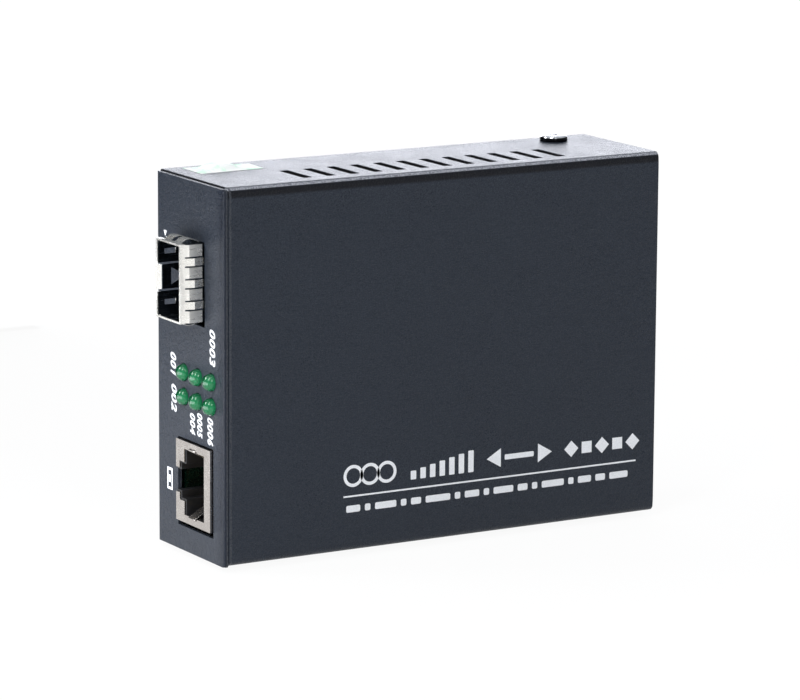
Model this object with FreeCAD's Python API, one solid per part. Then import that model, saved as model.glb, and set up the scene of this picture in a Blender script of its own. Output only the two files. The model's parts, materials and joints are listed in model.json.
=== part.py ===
import FreeCAD, Part
import math
import os

from FreeCAD import Vector

# Fibre media converter. Lengths are in millimetres.
# The pieces are laid out from one corner of the case: X grows from the base plate towards the cover's large
# face, Y from the front panel's face towards the rear, and Z from the lower narrow side to the upper one.
# At the end everything moves so that the origin is under the middle of the whole unit, on its lowest level.

# Case. CUT_PAST is how far each cutting tool runs on past the faces it opens.
CASE_WIDTH = 26.6
CASE_LENGTH = 94.35
CASE_HEIGHT = 70.4
SHEET = 0.8
CHASSIS_BEND = 1.0
COVER_BEND = 1.2
PANEL_CORNER = 0.4
PANEL_LOW_CORNER = 1.0
PANEL_DROP = 0.1
PANEL_TOP_STEP = 0.3
COVER_GAP = 0.1
SIDE_GAP = 0.1
COVER_LIFT = 0.1
REAR_INSET = 0.2
FLANGE_DEPTH = 8.8
BEND_RELIEF = 2.4
CUT_PAST = 1.0

# Vent slots in both narrow sides of the cover
VENT_LENGTH = 9.5
VENT_WIDTH = 1.8
VENT_PITCH = 5.0
VENT_CORNER = 0.3
VENT_FROM_FACE = 4.1
VENT_FIRST = 19.8
VENT_REAR_MARGIN = 18.4

# Screws: thread size, pan head, and the play of the holes round them
SHANK_DIAMETER = 2.9
HEAD_DIAMETER = 5.4
HEAD_HEIGHT = 1.2
HEAD_ROUNDING = 0.7
RECESS_SPAN = 3.0
RECESS_WIDTH = 0.75
RECESS_DEPTH = 0.7
RECESS_TAPER = 0.45
SCREW_TIP = 0.4
THREAD_PLAY = 0.1
THROUGH_PLAY = 0.5
CASE_SCREW_LENGTH = 4.0
CASE_SCREW_LEVEL = 4.8
CASE_SCREW_FRONT = 10.7
CASE_SCREW_REAR = 10.05
COLLAR_WALL = 0.7
COLLAR_DEPTH = 1.0

# Circuit board on four pressed-in standoffs
STANDOFF_HEIGHT = 6.2
STANDOFF_DIAMETER = 5.0
STANDOFF_SPIGOT = 4.2
SPIGOT_PLAY = 0.05
STANDOFF_FRONT = 25.0
STANDOFF_REAR = 10.0
STANDOFF_SIDE = 7.5
BOARD_SCREW_CAGE_GAP = 0.8
BOARD_THICKNESS = 1.6
BOARD_FRONT_GAP = 0.8
BOARD_REAR_GAP = 2.6
BOARD_SIDE_GAP = 0.9
BOARD_SCREW_LENGTH = 5.0
PIN_HOLE_PLAY = 0.3

# SFP bay: cage, spring gasket round its mouth, and the connector at its back
CAGE_CENTRE = 51.95
CAGE_WIDTH = 14.5
CAGE_HEIGHT = 9.2
CAGE_LENGTH = 48.5
CAGE_SHEET = 0.25
CAGE_LIFT = 0.9
CAGE_PROUD = 4.8
CAGE_LEG_WIDTH = 0.8
CAGE_LEG_REACH = 2.6
CAGE_LEG_COUNT = 5
CAGE_LEG_FROM_BOARD = 2.5
CAGE_LEG_FROM_BACK = 2.0
CAGE_SLOT_ABOVE = 0.15
CAGE_SLOT_BELOW = 1.1
CAGE_SLOT_SIDE = 0.4
TONGUE_WIDTH = 5.0
TONGUE_LENGTH = 12.0
TONGUE_SLIT = 0.35
TONGUE_ROOT = 0.3
LIP_LENGTH = 1.05
LIP_DROP = 0.65
LATCH_HOLE_WIDTH = 3.2
LATCH_HOLE_DEPTH = 3.0
LATCH_HOLE_FRONT = 2.85
CAGE_WINDOW_LENGTH = 2.35
CAGE_WINDOW_WIDTH = 1.0
CAGE_WINDOW_OFFSET = 4.75
CAGE_WINDOW_FRONT = 1.45
CONNECTOR_OPENING_WIDTH = 12.9
CONNECTOR_OPENING_AHEAD = 1.2
CONNECTOR_OPENING_BACK_RIM = 1.0
GASKET_SHEET = 0.12
GASKET_BAND = 0.95
FINGER_WIDTH = 1.4
FINGER_PITCH = 4.03
FINGER_SLIT = 0.3
FINGER_RIDGE = 0.5
FINGER_RIDGE_DEPTH = 1.75
FINGER_ROOT = 0.2
FINGER_TIP_RISE = 0.03
PLATE_RISE = 0.28
PLATE_RAMP = 0.95
PLATE_END_GAP = 0.45
FINGER_END_GAP = 0.12
BOW_WIDTH = 2.4
BOW_PITCH = 3.9
BOW_RISE = 0.75
BOW_SHAPE = ((1.1, 0.8), (1.9, 1.0), (2.7, 0.8))
CONNECTOR_WIDTH = 12.2
CONNECTOR_HEIGHT = 5.4
CONNECTOR_DEPTH = 8.6
CONNECTOR_BACK_GAP = 3.2
CARD_SLOT_WIDTH = 9.6
CARD_SLOT_HEIGHT = 1.2
CARD_SLOT_DEPTH = 5.5
CARD_SLOT_LEVEL = 3.1
CONNECTOR_PINS = 10
CONNECTOR_PITCH = 0.8
TAIL_WIDTH = 0.3
TAIL_THICKNESS = 0.2
TAIL_BEHIND = 1.4
TAIL_AHEAD = 0.9

# RJ45 socket
SOCKET_CENTRE = 13.35
SOCKET_WIDTH = 15.5
SOCKET_HEIGHT = 13.4
SOCKET_DEPTH = 16.0
SOCKET_PROUD = 0.55
SOCKET_SHEET = 0.25
SOCKET_FIT = 0.05
SOCKET_SLOT_TOP = 0.3
SOCKET_SLOT_FOOT = 0.2
SOCKET_SLOT_ABOVE = 0.25
SOCKET_SLOT_BELOW = 1.05
MOUTH_WIDTH = 12.5
MOUTH_FLOOR = 3.25
MOUTH_CEILING = 11.05
LATCH_WIDE = 7.4
LATCH_NARROW = 4.7
LATCH_STEP = 1.4
INSERT_STEP = 0.35
INSERT_SETBACK = 0.1
CAVITY_DEPTH = 11.2
GROUND_TAB_FOOT = 5.35
GROUND_TAB_WIDTH = 2.5
GROUND_TAB_REACH = 3.3
GROUND_TAB_RISE = 1.7
GROUND_TAB_ROOT = 0.4
GROUND_TAB_SET = 0.2
GROUND_NOTCH = 0.3
SHIELD_LEG_DEPTH = 9.0
SHIELD_LEG_WIDTH = 1.2
CONTACT_COUNT = 8
CONTACT_PITCH = 1.016
CONTACT_WIDTH = 0.45
CONTACT_THICKNESS = 0.3
CONTACT_ROWS = (12.7, 14.5)
CONTACT_FRONT = 2.0
CONTACT_TIP_DEPTH = 8.5
CONTACT_TIP_LEVEL = 8.6
CONTACT_RUN_LEVEL = 11.6
CONTACT_SIDE_PLAY = 0.08
CONTACT_PLAY = 0.1
CONTACT_BEND_PLAY = 0.3
PIN_REACH = 2.6
PEG_DIAMETER = 3.2
PEG_SPREAD = 11.43
PEG_DEPTH = 6.5
PEG_PLAY = 0.1

# Six round indicator lights in two columns of three
LED_DIAMETER = 3.0
LED_RIM_DIAMETER = 3.8
LED_RIM = 1.0
LED_BACK = 5.3
LED_DOME_CENTRE = -0.3
LED_SETBACKS = (0.2, 0.0, 0.0)
LED_LEVELS = (2.3, 7.75, 13.0)
LED_COLUMNS = (33.85, 29.27)
LED_HOLE_PLAY = 0.4
LED_BORE_PLAY = 0.1
LED_LEAD = 0.45
LED_LEAD_SPREAD = 2.54
LED_LEAD_ROWS = (8.0, 10.0, 12.0)
HOLDER_FRONT = 2.0
HOLDER_BACK = 6.3
HOLDER_EDGE = 2.5

# DC power inlet at the rear
INLET_CENTRE = 16.0
INLET_WIDTH = 9.0
INLET_HEIGHT = 11.0
INLET_DEPTH = 14.4
INLET_FLANGE = 3.3
INLET_WAIST = 0.3
INLET_BORE = 6.4
INLET_BORE_DEPTH = 10.5
INLET_AXIS_LEVEL = 6.4
INLET_PIN_DIAMETER = 2.0
INLET_PIN_ROOT = 2.8
INLET_PIN_PLAY = 0.05
INLET_PIN_ROUNDING = 0.5
INLET_PIN_SETBACK = 0.8
INLET_PLAY = 0.3
INLET_TERMINAL_WIDTH = 2.2
INLET_TERMINAL_SHEET = 0.4
INLET_TERMINAL_REACH = 3.0
INLET_BACK_TERMINAL = 0.6
INLET_SIDE_TERMINAL = 3.6
INLET_SPRING_TERMINAL = 6.6
INLET_SIDE_TERMINAL_GAP = 0.1
INLET_SIDE_TERMINAL_HEIGHT = 5.0
INLET_SPRING_RISE = 0.5
INLET_SPRING_PLAY = 0.1
INLET_LEAD_IN = 0.5

# Components on the board: centre from the front or from the board's rear edge, and centre height
MAGNETICS_AT = (24.5, 22.0)
MAGNETICS_SIZE = (12.6, 16.8, 6.0)
MAGNETICS_LEADS = 12
MAGNETICS_PITCH = 1.27
MAGNETICS_LEAD_WIDTH = 0.45
MAGNETICS_EDGE = 0.4
CHIP_AT = (42.0, 29.0)
CHIP_SIZE = (14.0, 14.0, 1.4)
CHIP_LEADS = 16
CHIP_PITCH = 0.8
CHIP_LEAD_WIDTH = 0.35
CHIP_EDGE = 0.2
CHIP_MARK_DIAMETER = 1.2
CHIP_MARK_DEPTH = 0.1
CHIP_MARK_INSET = 1.8
MEMORY_AT = (42.0, 13.5)
MEMORY_SIZE = (3.9, 4.9, 1.4)
MEMORY_LEADS = 4
MEMORY_PITCH = 1.27
MEMORY_LEAD_WIDTH = 0.4
CRYSTAL_AT = (53.0, 26.0)
CRYSTAL_SIZE = (4.7, 11.2, 3.5)
CRYSTAL_LIFT = 0.2
CRYSTAL_BRIM = 0.3
CRYSTAL_BRIM_HEIGHT = 0.45
REGULATOR_FROM_REAR = (16.0, 26.5)
REGULATOR_SIZE = (3.5, 6.5, 1.6)
REGULATOR_PITCH = 2.3
REGULATOR_LEADS = 3
REGULATOR_LEAD_WIDTH = 0.7
REGULATOR_TAB = (1.6, 3.0, 0.25)
INDUCTOR_FROM_REAR = (9.0, 37.0)
INDUCTOR_SIZE = (7.3, 7.3, 4.0)
INDUCTOR_CORNER = 1.2
INDUCTOR_EDGE = 0.3
CAPACITORS_FROM_REAR = ((9.0, 46.5), (9.0, 55.0), (20.0, 44.0))
CAPACITOR_DIAMETER = 6.3
CAPACITOR_HEIGHT = 7.7
CAPACITOR_BASE = (6.6, 1.2)
CAPACITOR_BASE_CORNER = 1.5
CAPACITOR_ROUNDING = 0.5
CAPACITOR_GROOVE_LEVEL = 1.2
CAPACITOR_GROOVE_DEPTH = 0.35
CAPACITOR_GROOVE_HALF = 0.3
LEAD_SHEET = 0.15
LEAD_OUT = 1.1
LEAD_FOOT = 0.6
LEAD_LEVEL = 0.75
BODY_LIFT = 0.1
CHIP_PASSIVE = (0.8, 1.6, 0.5)
RESISTOR_COUNT = 8
RESISTOR_STEP = 1.7
RESISTOR_ROWS = (18.6, 39.4)
BYPASS_CORNER = (58.5, 20.0)
BYPASS_COUNT = 5
BYPASS_STEP = 3.2

# Seal over the front screw of the upper side: its corners from the base plate's face and the front panel
SEAL_SHEET = 0.1
SEAL_CORNERS = ((9.7, 4.4), (9.1, 17.8), (2.7, 18.2), (1.7, 4.6))
SEAL_CLEARANCE = 0.06
SEAL_SPREAD = 1.5


# Levels that follow from the driving values

BASE_TOP = SHEET
BOARD_BOTTOM = BASE_TOP + STANDOFF_HEIGHT
BOARD_TOP = BOARD_BOTTOM + BOARD_THICKNESS
BOARD_FRONT = SHEET + BOARD_FRONT_GAP
REAR_FACE = CASE_LENGTH - REAR_INSET
BOARD_REAR = REAR_FACE - SHEET - BOARD_REAR_GAP
FLANGE_LOW = SHEET + SIDE_GAP
FLANGE_HIGH = CASE_HEIGHT - SHEET - SIDE_GAP
BOARD_LOW = FLANGE_LOW + SHEET + BOARD_SIDE_GAP
BOARD_HIGH = FLANGE_HIGH - SHEET - BOARD_SIDE_GAP
CAGE_FLOOR = BOARD_TOP + CAGE_LIFT
CAGE_CEILING = CAGE_FLOOR + CAGE_HEIGHT
CAGE_FRONT = -CAGE_PROUD
CAGE_BACK = CAGE_FRONT + CAGE_LENGTH
SOCKET_FRONT = -SOCKET_PROUD
SOCKET_BACK = SOCKET_FRONT + SOCKET_DEPTH
CASE_SCREW_SPOTS = (CASE_SCREW_FRONT, CASE_LENGTH - CASE_SCREW_REAR)
BESIDE_CAGE = min(STANDOFF_SIDE, CASE_HEIGHT - CAGE_CENTRE - CAGE_WIDTH / 2 - HEAD_DIAMETER / 2
                  - BOARD_SCREW_CAGE_GAP)
STANDOFF_ROWS = ((STANDOFF_FRONT, BESIDE_CAGE), (CASE_LENGTH - STANDOFF_REAR, STANDOFF_SIDE))
STANDOFF_SPOTS = [(y, z) for y, side in STANDOFF_ROWS for z in (side, CASE_HEIGHT - side)]

ALONG_X = Vector(1, 0, 0)
ALONG_Y = Vector(0, 1, 0)
ALONG_Z = Vector(0, 0, 1)


# Building blocks

def box(x0, x1, y0, y1, z0, z1):
    return Part.makeBox(x1 - x0, y1 - y0, z1 - z0, Vector(x0, y0, z0))


def rod(diameter, start, direction, length):
    return Part.makeCylinder(diameter / 2, length, start, direction)


def join(shapes):
    if len(shapes) == 1:
        return shapes[0]
    return shapes[0].multiFuse(shapes[1:]).removeSplitter()


def cut(shape, tools):
    return shape.cut(Part.makeCompound(tools)).removeSplitter()


def in_xy(z):
    return lambda a, b: Vector(a, b, z)


def in_xz(y):
    return lambda a, b: Vector(a, y, b)


def in_yz(x):
    return lambda a, b: Vector(x, a, b)


def unit(a, b):
    size = math.hypot(a, b)
    return a / size, b / size


def rounded_face(points, radii, lift):
    """Flat face through the corner points, each corner rounded to its own radius."""
    count = len(points)
    corners = []
    for i in range(count):
        at = points[i]
        before = points[i - 1]
        after = points[(i + 1) % count]
        radius = radii[i]
        u = unit(before[0] - at[0], before[1] - at[1])
        v = unit(after[0] - at[0], after[1] - at[1])
        if radius <= 0:
            corners.append((at, None, at))
            continue
        half = math.acos(max(-1.0, min(1.0, u[0] * v[0] + u[1] * v[1]))) / 2
        trim = radius / math.tan(half)
        middle = unit(u[0] + v[0], u[1] + v[1])
        depth = radius / math.sin(half) - radius
        corners.append((
            (at[0] + u[0] * trim, at[1] + u[1] * trim),
            (at[0] + middle[0] * depth, at[1] + middle[1] * depth),
            (at[0] + v[0] * trim, at[1] + v[1] * trim),
        ))
    edges = []
    for i in range(count):
        start, middle, end = corners[i]
        following = corners[(i + 1) % count][0]
        if middle is not None:
            edges.append(Part.Arc(lift(*start), lift(*middle), lift(*end)).toShape())
        if math.dist(end, following) > 1e-6:
            edges.append(Part.LineSegment(lift(*end), lift(*following)).toShape())
    return Part.Face(Part.Wire(edges))


def prism(points, lift, direction, radii=None):
    face = rounded_face(points, radii or [0] * len(points), lift)
    return face.extrude(direction)


def folded(path, sheet, bend, lift, direction):
    """Sheet folded along a path of its outer face, with the metal on the path's left.

    A fold towards the metal has the outer radius bend, and its other face the radius bend - sheet."""
    normals = []
    for start, end in zip(path, path[1:]):
        along = unit(end[0] - start[0], end[1] - start[1])
        normals.append((-along[1], along[0]))
    inner = []
    outer_radii = []
    inner_radii = []
    for i, point in enumerate(path):
        first = normals[max(i - 1, 0)]
        second = normals[min(i, len(normals) - 1)]
        spread = 1 + first[0] * second[0] + first[1] * second[1]
        inner.append((point[0] + (first[0] + second[0]) * sheet / spread,
                      point[1] + (first[1] + second[1]) * sheet / spread))
        turn = first[0] * second[1] - first[1] * second[0]
        small = max(bend - sheet, 0)
        if i in (0, len(path) - 1):
            outer_radii.append(0)
            inner_radii.append(0)
        else:
            outer_radii.append(bend if turn > 0 else small)
            inner_radii.append(small if turn > 0 else bend)
    points = list(path) + inner[::-1]
    return prism(points, lift, direction, outer_radii + inner_radii[::-1])


def slot_tool(x0, x1, y0, y1, z0, z1, radius):
    """Rectangular punch along Z with rounded corners."""
    points = [(x0, y0), (x1, y0), (x1, y1), (x0, y1)]
    return prism(points, in_xy(z0), Vector(0, 0, z1 - z0), [radius] * 4)


def pan_screw(under_head, direction, length):
    """Pan head screw with a crossed recess. direction is the way its shank runs."""
    radius = HEAD_DIAMETER / 2
    shank = SHANK_DIAMETER / 2
    profile = [(0, -HEAD_HEIGHT), (radius, -HEAD_HEIGHT), (radius, 0), (shank, 0),
               (shank, length - SCREW_TIP), (shank - SCREW_TIP, length), (0, length)]
    face = rounded_face(profile, [0, HEAD_ROUNDING, 0, 0, 0, 0, 0], in_xz(0))
    screw = face.revolve(Vector(0, 0, 0), ALONG_Z, 360)
    half = RECESS_SPAN / 2
    side = RECESS_WIDTH / 2
    foot = -HEAD_HEIGHT + RECESS_DEPTH
    blade = [(-half, -HEAD_HEIGHT), (half, -HEAD_HEIGHT), (half * RECESS_TAPER, foot),
             (-half * RECESS_TAPER, foot)]
    recess = prism(blade, in_xz(-side), Vector(0, 2 * side, 0))
    crossing = recess.copy()
    crossing.rotate(Vector(0, 0, 0), ALONG_Z, 90)
    screw = cut(screw, [recess, crossing])
    screw.Placement = FreeCAD.Placement(under_head, FreeCAD.Rotation(ALONG_Z, direction))
    return screw


def gull_lead(root, out, width, body_half):
    """Bent lead of a flat chip. root is on the board under the body's middle, and out points outwards."""
    across = out.cross(ALONG_X)
    path = [(body_half, LEAD_LEVEL), (body_half + LEAD_OUT - LEAD_FOOT, LEAD_LEVEL),
            (body_half + LEAD_OUT - LEAD_FOOT, 0), (body_half + LEAD_OUT, 0)]
    lift = lambda a, b: root + out * a + ALONG_X * b - across * (width / 2)
    inner = [(a, b + LEAD_SHEET) for a, b in path]
    inner[1] = (path[1][0] + LEAD_SHEET, inner[1][1])
    inner[2] = (path[2][0] + LEAD_SHEET, inner[2][1])
    return prism(path + inner[::-1], lift, across * width)


def row_offsets(count, pitch):
    return [(i - (count - 1) / 2) * pitch for i in range(count)]


# Case

def standoff_holes():
    size = STANDOFF_SPIGOT + 2 * SPIGOT_PLAY
    return [rod(size, Vector(-CUT_PAST, y, z), ALONG_X, SHEET + 2 * CUT_PAST) for y, z in STANDOFF_SPOTS]


def cage_slot():
    half = CAGE_WIDTH / 2
    return box(CAGE_FLOOR - CAGE_SLOT_SIDE, CAGE_CEILING + CAGE_SLOT_SIDE, -CUT_PAST, SHEET + CUT_PAST,
               CAGE_CENTRE - half - CAGE_SLOT_BELOW, CAGE_CENTRE + half + CAGE_SLOT_ABOVE)


def socket_slot():
    half = SOCKET_WIDTH / 2
    foot = BOARD_TOP - SOCKET_SLOT_FOOT
    top = BOARD_TOP + SOCKET_HEIGHT + SOCKET_SLOT_TOP
    return box(foot, top, -CUT_PAST, SHEET + CUT_PAST,
               SOCKET_CENTRE - half - SOCKET_SLOT_BELOW, SOCKET_CENTRE + half + SOCKET_SLOT_ABOVE)


def led_places():
    return [(BOARD_TOP + level, z, setback, row)
            for z in LED_COLUMNS
            for level, setback, row in zip(LED_LEVELS, LED_SETBACKS, LED_LEAD_ROWS)]


def panel_holes():
    size = LED_DIAMETER + LED_HOLE_PLAY
    holes = [rod(size, Vector(x, -CUT_PAST, z), ALONG_Y, SHEET + 2 * CUT_PAST)
             for x, z, setback, row in led_places()]
    return holes + [cage_slot(), socket_slot()]


def inlet_slot():
    half = INLET_WIDTH / 2 + INLET_PLAY
    return box(BOARD_TOP - INLET_PLAY, BOARD_TOP + INLET_HEIGHT + INLET_PLAY, REAR_FACE - SHEET - CUT_PAST,
               CASE_LENGTH + CUT_PAST, INLET_CENTRE - half, INLET_CENTRE + half)


def front_panel():
    """Flat part of the front panel, with short ears past the fold, rounded like it."""
    low = -PANEL_DROP
    high = CASE_HEIGHT - PANEL_TOP_STEP
    points = [(0, low), (CASE_WIDTH, low), (CASE_WIDTH, high), (0, high)]
    radii = [PANEL_LOW_CORNER, PANEL_CORNER, PANEL_CORNER, PANEL_CORNER]
    plate = prism(points, in_xz(0), Vector(0, SHEET, 0), radii)
    fold = box(-CUT_PAST, CHASSIS_BEND, -CUT_PAST, SHEET + CUT_PAST, fold_low(), fold_high())
    return cut(plate, [fold, fold_arris(low, high)])


def fold_arris(low, high):
    """What the outer rounding of the fold takes off a square corner, over the panel's whole height."""
    corner = box(-CUT_PAST, CHASSIS_BEND, -CUT_PAST, CHASSIS_BEND, low - CUT_PAST, high + CUT_PAST)
    round_bar = rod(2 * CHASSIS_BEND, Vector(CHASSIS_BEND, CHASSIS_BEND, low - CUT_PAST), ALONG_Z,
                    high - low + 2 * CUT_PAST)
    return cut(corner, [round_bar])


def fold_low():
    return FLANGE_LOW + CHASSIS_BEND


def fold_high():
    return FLANGE_HIGH - CHASSIS_BEND


def rear_panel():
    """Flat part of the rear panel, with its free corners clear of the cover's folds."""
    low, high = FLANGE_LOW, FLANGE_HIGH
    top = CASE_WIDTH - SHEET - SIDE_GAP
    corner = COVER_BEND - SHEET + SIDE_GAP
    points = [(CHASSIS_BEND, low), (top, low), (top, high), (CHASSIS_BEND, high)]
    return prism(points, in_xz(REAR_FACE - SHEET), Vector(0, SHEET, 0), [0, corner, corner, 0])


def screw_collars():
    """Drawn collars round the tapped holes of the flanges."""
    size = SHANK_DIAMETER + 2 * COLLAR_WALL
    depth = SHEET / 2 + COLLAR_DEPTH
    collars = []
    for y in CASE_SCREW_SPOTS:
        collars.append(rod(size, Vector(CASE_SCREW_LEVEL, y, FLANGE_LOW + SHEET / 2), ALONG_Z, depth))
        collars.append(rod(size, Vector(CASE_SCREW_LEVEL, y, FLANGE_HIGH - SHEET / 2), -ALONG_Z, depth))
    return collars


def screw_drills(size):
    """Drills that run right through the case along both screw lines."""
    return [rod(size, Vector(CASE_SCREW_LEVEL, y, -CUT_PAST), ALONG_Z, CASE_HEIGHT + 2 * CUT_PAST)
            for y in CASE_SCREW_SPOTS]


def chassis():
    """Base plate with the front panel, the rear panel and the two side flanges folded up from it."""
    end_path = [(CASE_WIDTH / 2, REAR_FACE), (0, REAR_FACE), (0, 0), (CASE_WIDTH / 2, 0)]
    ends = folded(end_path, SHEET, CHASSIS_BEND, in_xy(fold_low()), Vector(0, 0, fold_high() - fold_low()))
    side_path = [(FLANGE_DEPTH, FLANGE_HIGH), (0, FLANGE_HIGH), (0, FLANGE_LOW), (FLANGE_DEPTH, FLANGE_LOW)]
    relief = SHEET + BEND_RELIEF
    sides = folded(side_path, SHEET, CHASSIS_BEND, in_xz(relief), Vector(0, REAR_FACE - 2 * relief, 0))
    shell = join([ends, sides, front_panel(), rear_panel()] + screw_collars())
    tapped_holes = screw_drills(SHANK_DIAMETER + THREAD_PLAY)
    return cut(shell, standoff_holes() + panel_holes() + tapped_holes + [inlet_slot()])


def vent_slots():
    face = CASE_WIDTH - VENT_FROM_FACE
    room = CASE_LENGTH - VENT_FIRST - VENT_REAR_MARGIN
    tools = []
    for i in range(int(room / VENT_PITCH) + 1):
        front = VENT_FIRST + i * VENT_PITCH - VENT_WIDTH / 2
        for low in (-CUT_PAST, CASE_HEIGHT - SHEET - CUT_PAST):
            tools.append(slot_tool(face - VENT_LENGTH, face, front, front + VENT_WIDTH,
                                   low, low + SHEET + 2 * CUT_PAST, VENT_CORNER))
    return tools


def cover():
    """Large face with the two narrow sides folded down from it, over the chassis."""
    front = SHEET + COVER_GAP
    path = [(COVER_LIFT, 0), (CASE_WIDTH, 0), (CASE_WIDTH, CASE_HEIGHT), (COVER_LIFT, CASE_HEIGHT)]
    shell = folded(path, SHEET, COVER_BEND, in_xz(front), Vector(0, CASE_LENGTH - front, 0))
    return cut(shell, vent_slots() + screw_drills(SHANK_DIAMETER + THROUGH_PLAY))


def case_screws():
    screws = []
    for y in CASE_SCREW_SPOTS:
        screws.append(pan_screw(Vector(CASE_SCREW_LEVEL, y, 0), ALONG_Z, CASE_SCREW_LENGTH))
        screws.append(pan_screw(Vector(CASE_SCREW_LEVEL, y, CASE_HEIGHT), -ALONG_Z, CASE_SCREW_LENGTH))
    return Part.makeCompound(screws)


def seal_label():
    """Thin sticker that lies on the upper side and rises over the front screw's head."""
    outline = prism(SEAL_CORNERS, in_xy(CASE_HEIGHT), Vector(0, 0, HEAD_HEIGHT + CUT_PAST))
    spot = Vector(CASE_SCREW_LEVEL, CASE_SCREW_FRONT, CASE_HEIGHT)
    room = SEAL_CLEARANCE
    rise = HEAD_HEIGHT + room
    foot = HEAD_DIAMETER / 2 + room + SEAL_SPREAD
    crown = HEAD_DIAMETER / 2 + room
    sheet = prism(SEAL_CORNERS, in_xy(CASE_HEIGHT), Vector(0, 0, SEAL_SHEET))
    hollow = Part.makeCone(foot, crown, rise, spot)
    shell = Part.makeCone(foot + SEAL_SHEET, crown + SEAL_SHEET, rise + SEAL_SHEET, spot)
    return sheet.fuse(shell.common(outline)).cut(hollow).removeSplitter()


# Circuit board and what holds it

def standoffs():
    pieces = []
    for y, z in STANDOFF_SPOTS:
        body = rod(STANDOFF_DIAMETER, Vector(BASE_TOP, y, z), ALONG_X, STANDOFF_HEIGHT)
        spigot = rod(STANDOFF_SPIGOT, Vector(0, y, z), ALONG_X, SHEET)
        bore = rod(SHANK_DIAMETER + THREAD_PLAY, Vector(-CUT_PAST, y, z), ALONG_X,
                   STANDOFF_HEIGHT + SHEET + 2 * CUT_PAST)
        pieces.append(cut(join([body, spigot]), [bore]))
    return Part.makeCompound(pieces)


def board_screws():
    return Part.makeCompound([pan_screw(Vector(BOARD_TOP, y, z), -ALONG_X, BOARD_SCREW_LENGTH)
                              for y, z in STANDOFF_SPOTS])


def board_hole(size, y, z):
    return rod(size, Vector(BOARD_BOTTOM - CUT_PAST, y, z), ALONG_X, BOARD_THICKNESS + 2 * CUT_PAST)


def board_slot(y0, y1, z0, z1):
    return box(BOARD_BOTTOM - CUT_PAST, BOARD_TOP + CUT_PAST, y0, y1, z0, z1)


def circuit_board():
    plate = box(BOARD_BOTTOM, BOARD_TOP, BOARD_FRONT, BOARD_REAR, BOARD_LOW, BOARD_HIGH)
    tools = [board_hole(SHANK_DIAMETER + THROUGH_PLAY, y, z) for y, z in STANDOFF_SPOTS]
    tools += [board_hole(PEG_DIAMETER + 2 * PEG_PLAY, y, z) for y, z in peg_spots()]
    tools += [board_hole(CONTACT_WIDTH + PIN_HOLE_PLAY, y, z) for y, z in contact_spots()]
    play = PIN_HOLE_PLAY / 2
    tools += [board_hole(LED_LEAD * math.sqrt(2) + play, y, z) for y, z in lead_spots()]
    tools += [board_slot(y0 - play, y1 + play, z0 - play, z1 + play)
              for y0, y1, z0, z1 in cage_leg_spots() + shield_leg_spots() + terminal_spots()]
    return cut(plate, tools)


# SFP bay

def cage_leg_spots():
    """Footprint of each solder leg of the cage."""
    first = BOARD_FRONT + CAGE_LEG_FROM_BOARD
    last = CAGE_BACK - CAGE_LEG_FROM_BACK
    step = (last - first) / (CAGE_LEG_COUNT - 1)
    half = CAGE_WIDTH / 2
    spots = []
    for i in range(CAGE_LEG_COUNT):
        y = first + i * step
        spots.append((y - CAGE_LEG_WIDTH / 2, y + CAGE_LEG_WIDTH / 2,
                      CAGE_CENTRE - half, CAGE_CENTRE - half + CAGE_SHEET))
        spots.append((y - CAGE_LEG_WIDTH / 2, y + CAGE_LEG_WIDTH / 2,
                      CAGE_CENTRE + half - CAGE_SHEET, CAGE_CENTRE + half))
    return spots


def tongue_room():
    """Room in the cage's floor for the latch tongue and the slits beside it."""
    side = TONGUE_WIDTH / 2 + TONGUE_SLIT / 2
    return box(CAGE_FLOOR - CUT_PAST, CAGE_FLOOR + CUT_PAST,
               CAGE_FRONT - CUT_PAST, CAGE_FRONT + TONGUE_LENGTH, CAGE_CENTRE - side, CAGE_CENTRE + side)


def cage_windows():
    start = CAGE_FRONT + CAGE_WINDOW_FRONT
    return [box(CAGE_FLOOR - CUT_PAST, CAGE_FLOOR + CUT_PAST, start, start + CAGE_WINDOW_LENGTH,
                CAGE_CENTRE + side - CAGE_WINDOW_WIDTH / 2, CAGE_CENTRE + side + CAGE_WINDOW_WIDTH / 2)
            for side in (-CAGE_WINDOW_OFFSET, CAGE_WINDOW_OFFSET)]


def latch_tongue():
    """Latch tongue in the cage's floor, with its lip bent out and its three-cornered hole."""
    half = TONGUE_WIDTH / 2 - TONGUE_SLIT / 2
    path = [(CAGE_FLOOR, CAGE_FRONT + TONGUE_LENGTH + TONGUE_ROOT), (CAGE_FLOOR, CAGE_FRONT + LIP_LENGTH),
            (CAGE_FLOOR - LIP_DROP, CAGE_FRONT)]
    strip = folded(path, CAGE_SHEET, CAGE_SHEET, in_xy(CAGE_CENTRE - half), Vector(0, 0, 2 * half))
    base = CAGE_FRONT + LATCH_HOLE_FRONT
    hole = prism([(base, CAGE_CENTRE - LATCH_HOLE_WIDTH / 2), (base + LATCH_HOLE_DEPTH, CAGE_CENTRE),
                  (base, CAGE_CENTRE + LATCH_HOLE_WIDTH / 2)], in_yz(CAGE_FLOOR - CUT_PAST),
                 Vector(2 * CUT_PAST, 0, 0))
    return cut(strip, [hole])


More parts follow.
